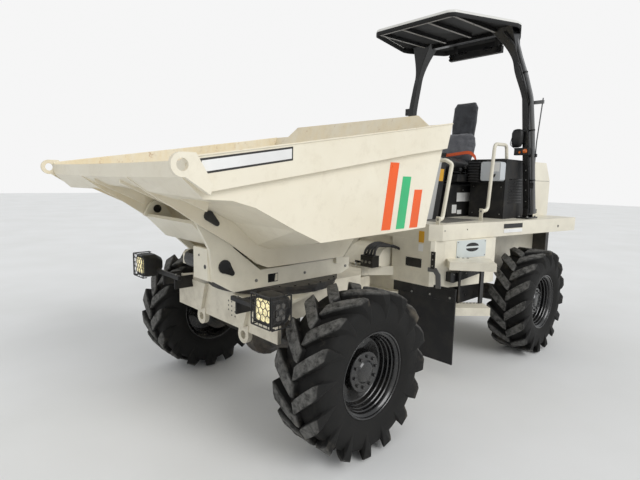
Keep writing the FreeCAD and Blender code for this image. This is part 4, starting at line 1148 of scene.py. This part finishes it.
# hydraulic block and hoses at the pivot, all on the rear frame, and pipes on the tipping cylinder
kit("rear", "black").block((0.105, 0.905, 0.880), (0.235, 0.990, 0.975))
for k in range(3):
    kit("rear", "black").turned(at(0.130 + 0.040 * k, 0.940, 0.972), UP, [(0, 0.014), (0.012, 0.014), (0.016, 0.010)], 12)
    kit("rear", "dull_steel").turned(at(0.130 + 0.040 * k, 0.9055, 0.925), FORWARD, [(0, 0.012), (0.010, 0.012)], 6)
for k in range(4):
    x = 0.120 + 0.034 * k
    pipe("pivot_hose_%d" % k, [at(x, 0.940, 0.975), at(x, 0.945, 1.03 + 0.01 * k), at(x + 0.02, 1.06, 1.075 - 0.008 * k),
                               at(x + 0.05, 1.16, 1.05), at(x + 0.06, 1.256, 1.02 - 0.01 * k)], 0.011, "rear", "rubber")
for s in (1, -1):
    kit("tip_barrel", "frame_grey").tube([at(s * 0.03, -0.44, 1.140), at(s * 0.03, -0.40, 1.148), at(s * 0.03, 0.02, 1.168)], 0.008, 0.02, 10, 3)

# skip: lip bead
for s in (1, -1):
    kit("skip", "skip").tube([at(s * 0.9415, -1.09, 1.6655), at(s * 0.9415, 0.43, 1.9105), at(s * 0.9415, 0.828, 1.9775)], 0.0045, 0.2, 8, 3)

for (body, mat), shape in KITS.items():
    shape.make("fittings_%s_%s" % (body, mat), body, mat, SLOT_OF[mat], 0.0012)

X = (1, 0, 0)
lean = Vector((0.0, 0.16, 0.39)).normalized()
back_out = Vector((0.0, -lean.z, lean.y))

cushion = []
for y, half, high in ((1.985, 0.200, 0.040), (2.02, 0.226, 0.054), (2.12, 0.236, 0.060), (2.28, 0.236, 0.056), (2.42, 0.226, 0.056),
                      (2.47, 0.200, 0.046)):
    cushion.append((at(0, y, 1.775 - (y - 1.98) * 0.05), X, (0, 0, 1), half, high, 3.6))
seat_cuts = [(at(s * 0.135, 1.98, 1.84), at(s * 0.135, 2.46, 1.81), 0.007, 0.007) for s in (-1, 1)]
seat_cuts += [(at(-0.135, y, 1.835), at(0.135, y, 1.835), 0.006, 0.006) for y in (2.08, 2.18, 2.28)]
soft_cushion = pad("seat_cushion", cushion, "vinyl", "rear", 0.006, 0.014, "grey_fabric", seat_cuts)

back = []
for t, half, deep in ((0.0, 0.180, 0.040), (0.03, 0.208, 0.052), (0.13, 0.218, 0.058), (0.23, 0.212, 0.056), (0.31, 0.186, 0.048),
                      (0.35, 0.150, 0.034)):
    back.append((at(0, 2.45, 1.78) + lean * t, X, back_out, half, deep, 3.2))
back_cuts = []
for s in (-1, 1):
    back_cuts.append((at(s * 0.13, 2.385, 1.80), at(s * 0.145, 2.46, 2.00), 0.006, 0.007))
    back_cuts.append((at(s * 0.145, 2.46, 2.00), at(s * 0.07, 2.53, 2.17), 0.006, 0.007))
soft_back = pad("seat_back", back, "grey_fabric", "rear", 0.006, 0.014, "grey_fabric", back_cuts)

head = []
for t, half, deep in ((0.0, 0.105, 0.028), (0.03, 0.135, 0.038), (0.20, 0.146, 0.044), (0.36, 0.140, 0.040), (0.41, 0.112, 0.026)):
    head.append((at(0, 2.635, 2.036) + Vector((0, 0.12, 1.0)).normalized() * t, X, Vector((0, 1, -0.12)).normalized(), half, deep, 3.4))
soft_head = pad("seat_headrest", head, "dark_fabric", "rear", 0.006, 0.010, "grey_fabric", [])
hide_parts("seat")

make_camera()


# floor, world and lights
def make_stage():
    n = Nodes("floor_pale")
    tone = n.mix(n.ramp(n.noise(0.8, 3.0), 0.3, 0.7), linear(226, 226, 224), linear(232, 232, 231))
    n.finish(tone, 0.85)
    mesh = bpy.data.meshes.new("floor")
    mesh.from_pydata([(-40, -40, 0), (40, -40, 0), (40, 40, 0), (-40, 40, 0)], [], [[0, 1, 2, 3]])
    floor = bpy.data.objects.new("floor", mesh)
    mesh.materials.append(n.mat)
    bpy.context.scene.collection.objects.link(floor)
    world = bpy.data.worlds.new("studio")
    world.use_nodes = True
    tree = world.node_tree
    tree.nodes.clear()
    out = tree.nodes.new("ShaderNodeOutputWorld")
    shown = tree.nodes.new("ShaderNodeBackground")
    shown.inputs[0].default_value = (0.92, 0.92, 0.92, 1.0)
    light = tree.nodes.new("ShaderNodeBackground")
    light.inputs[0].default_value = (0.96, 0.98, 1.0, 1.0)
    light.inputs[1].default_value = 0.64
    path = tree.nodes.new("ShaderNodeLightPath")
    mixer = tree.nodes.new("ShaderNodeMixShader")
    tree.links.new(path.outputs["Is Camera Ray"], mixer.inputs[0])
    tree.links.new(light.outputs[0], mixer.inputs[1])
    tree.links.new(shown.outputs[0], mixer.inputs[2])
    tree.links.new(mixer.outputs[0], out.inputs[0])
    bpy.context.scene.world = world
    for name, way, power, size in (("key", (-1.0, -0.10, -0.66), 1.5, 35.0), ("fill", (0.6, 0.8, -0.7), 0.35, 60.0)):
        data = bpy.data.lights.new(name, "SUN")
        data.energy = power
        data.angle = math.radians(size)
        lamp = bpy.data.objects.new(name, data)
        lamp.rotation_euler = Vector(way).to_track_quat("-Z", "Y").to_euler()
        bpy.context.scene.collection.objects.link(lamp)


make_stage()
bpy.context.scene.view_settings.view_transform = "Standard"
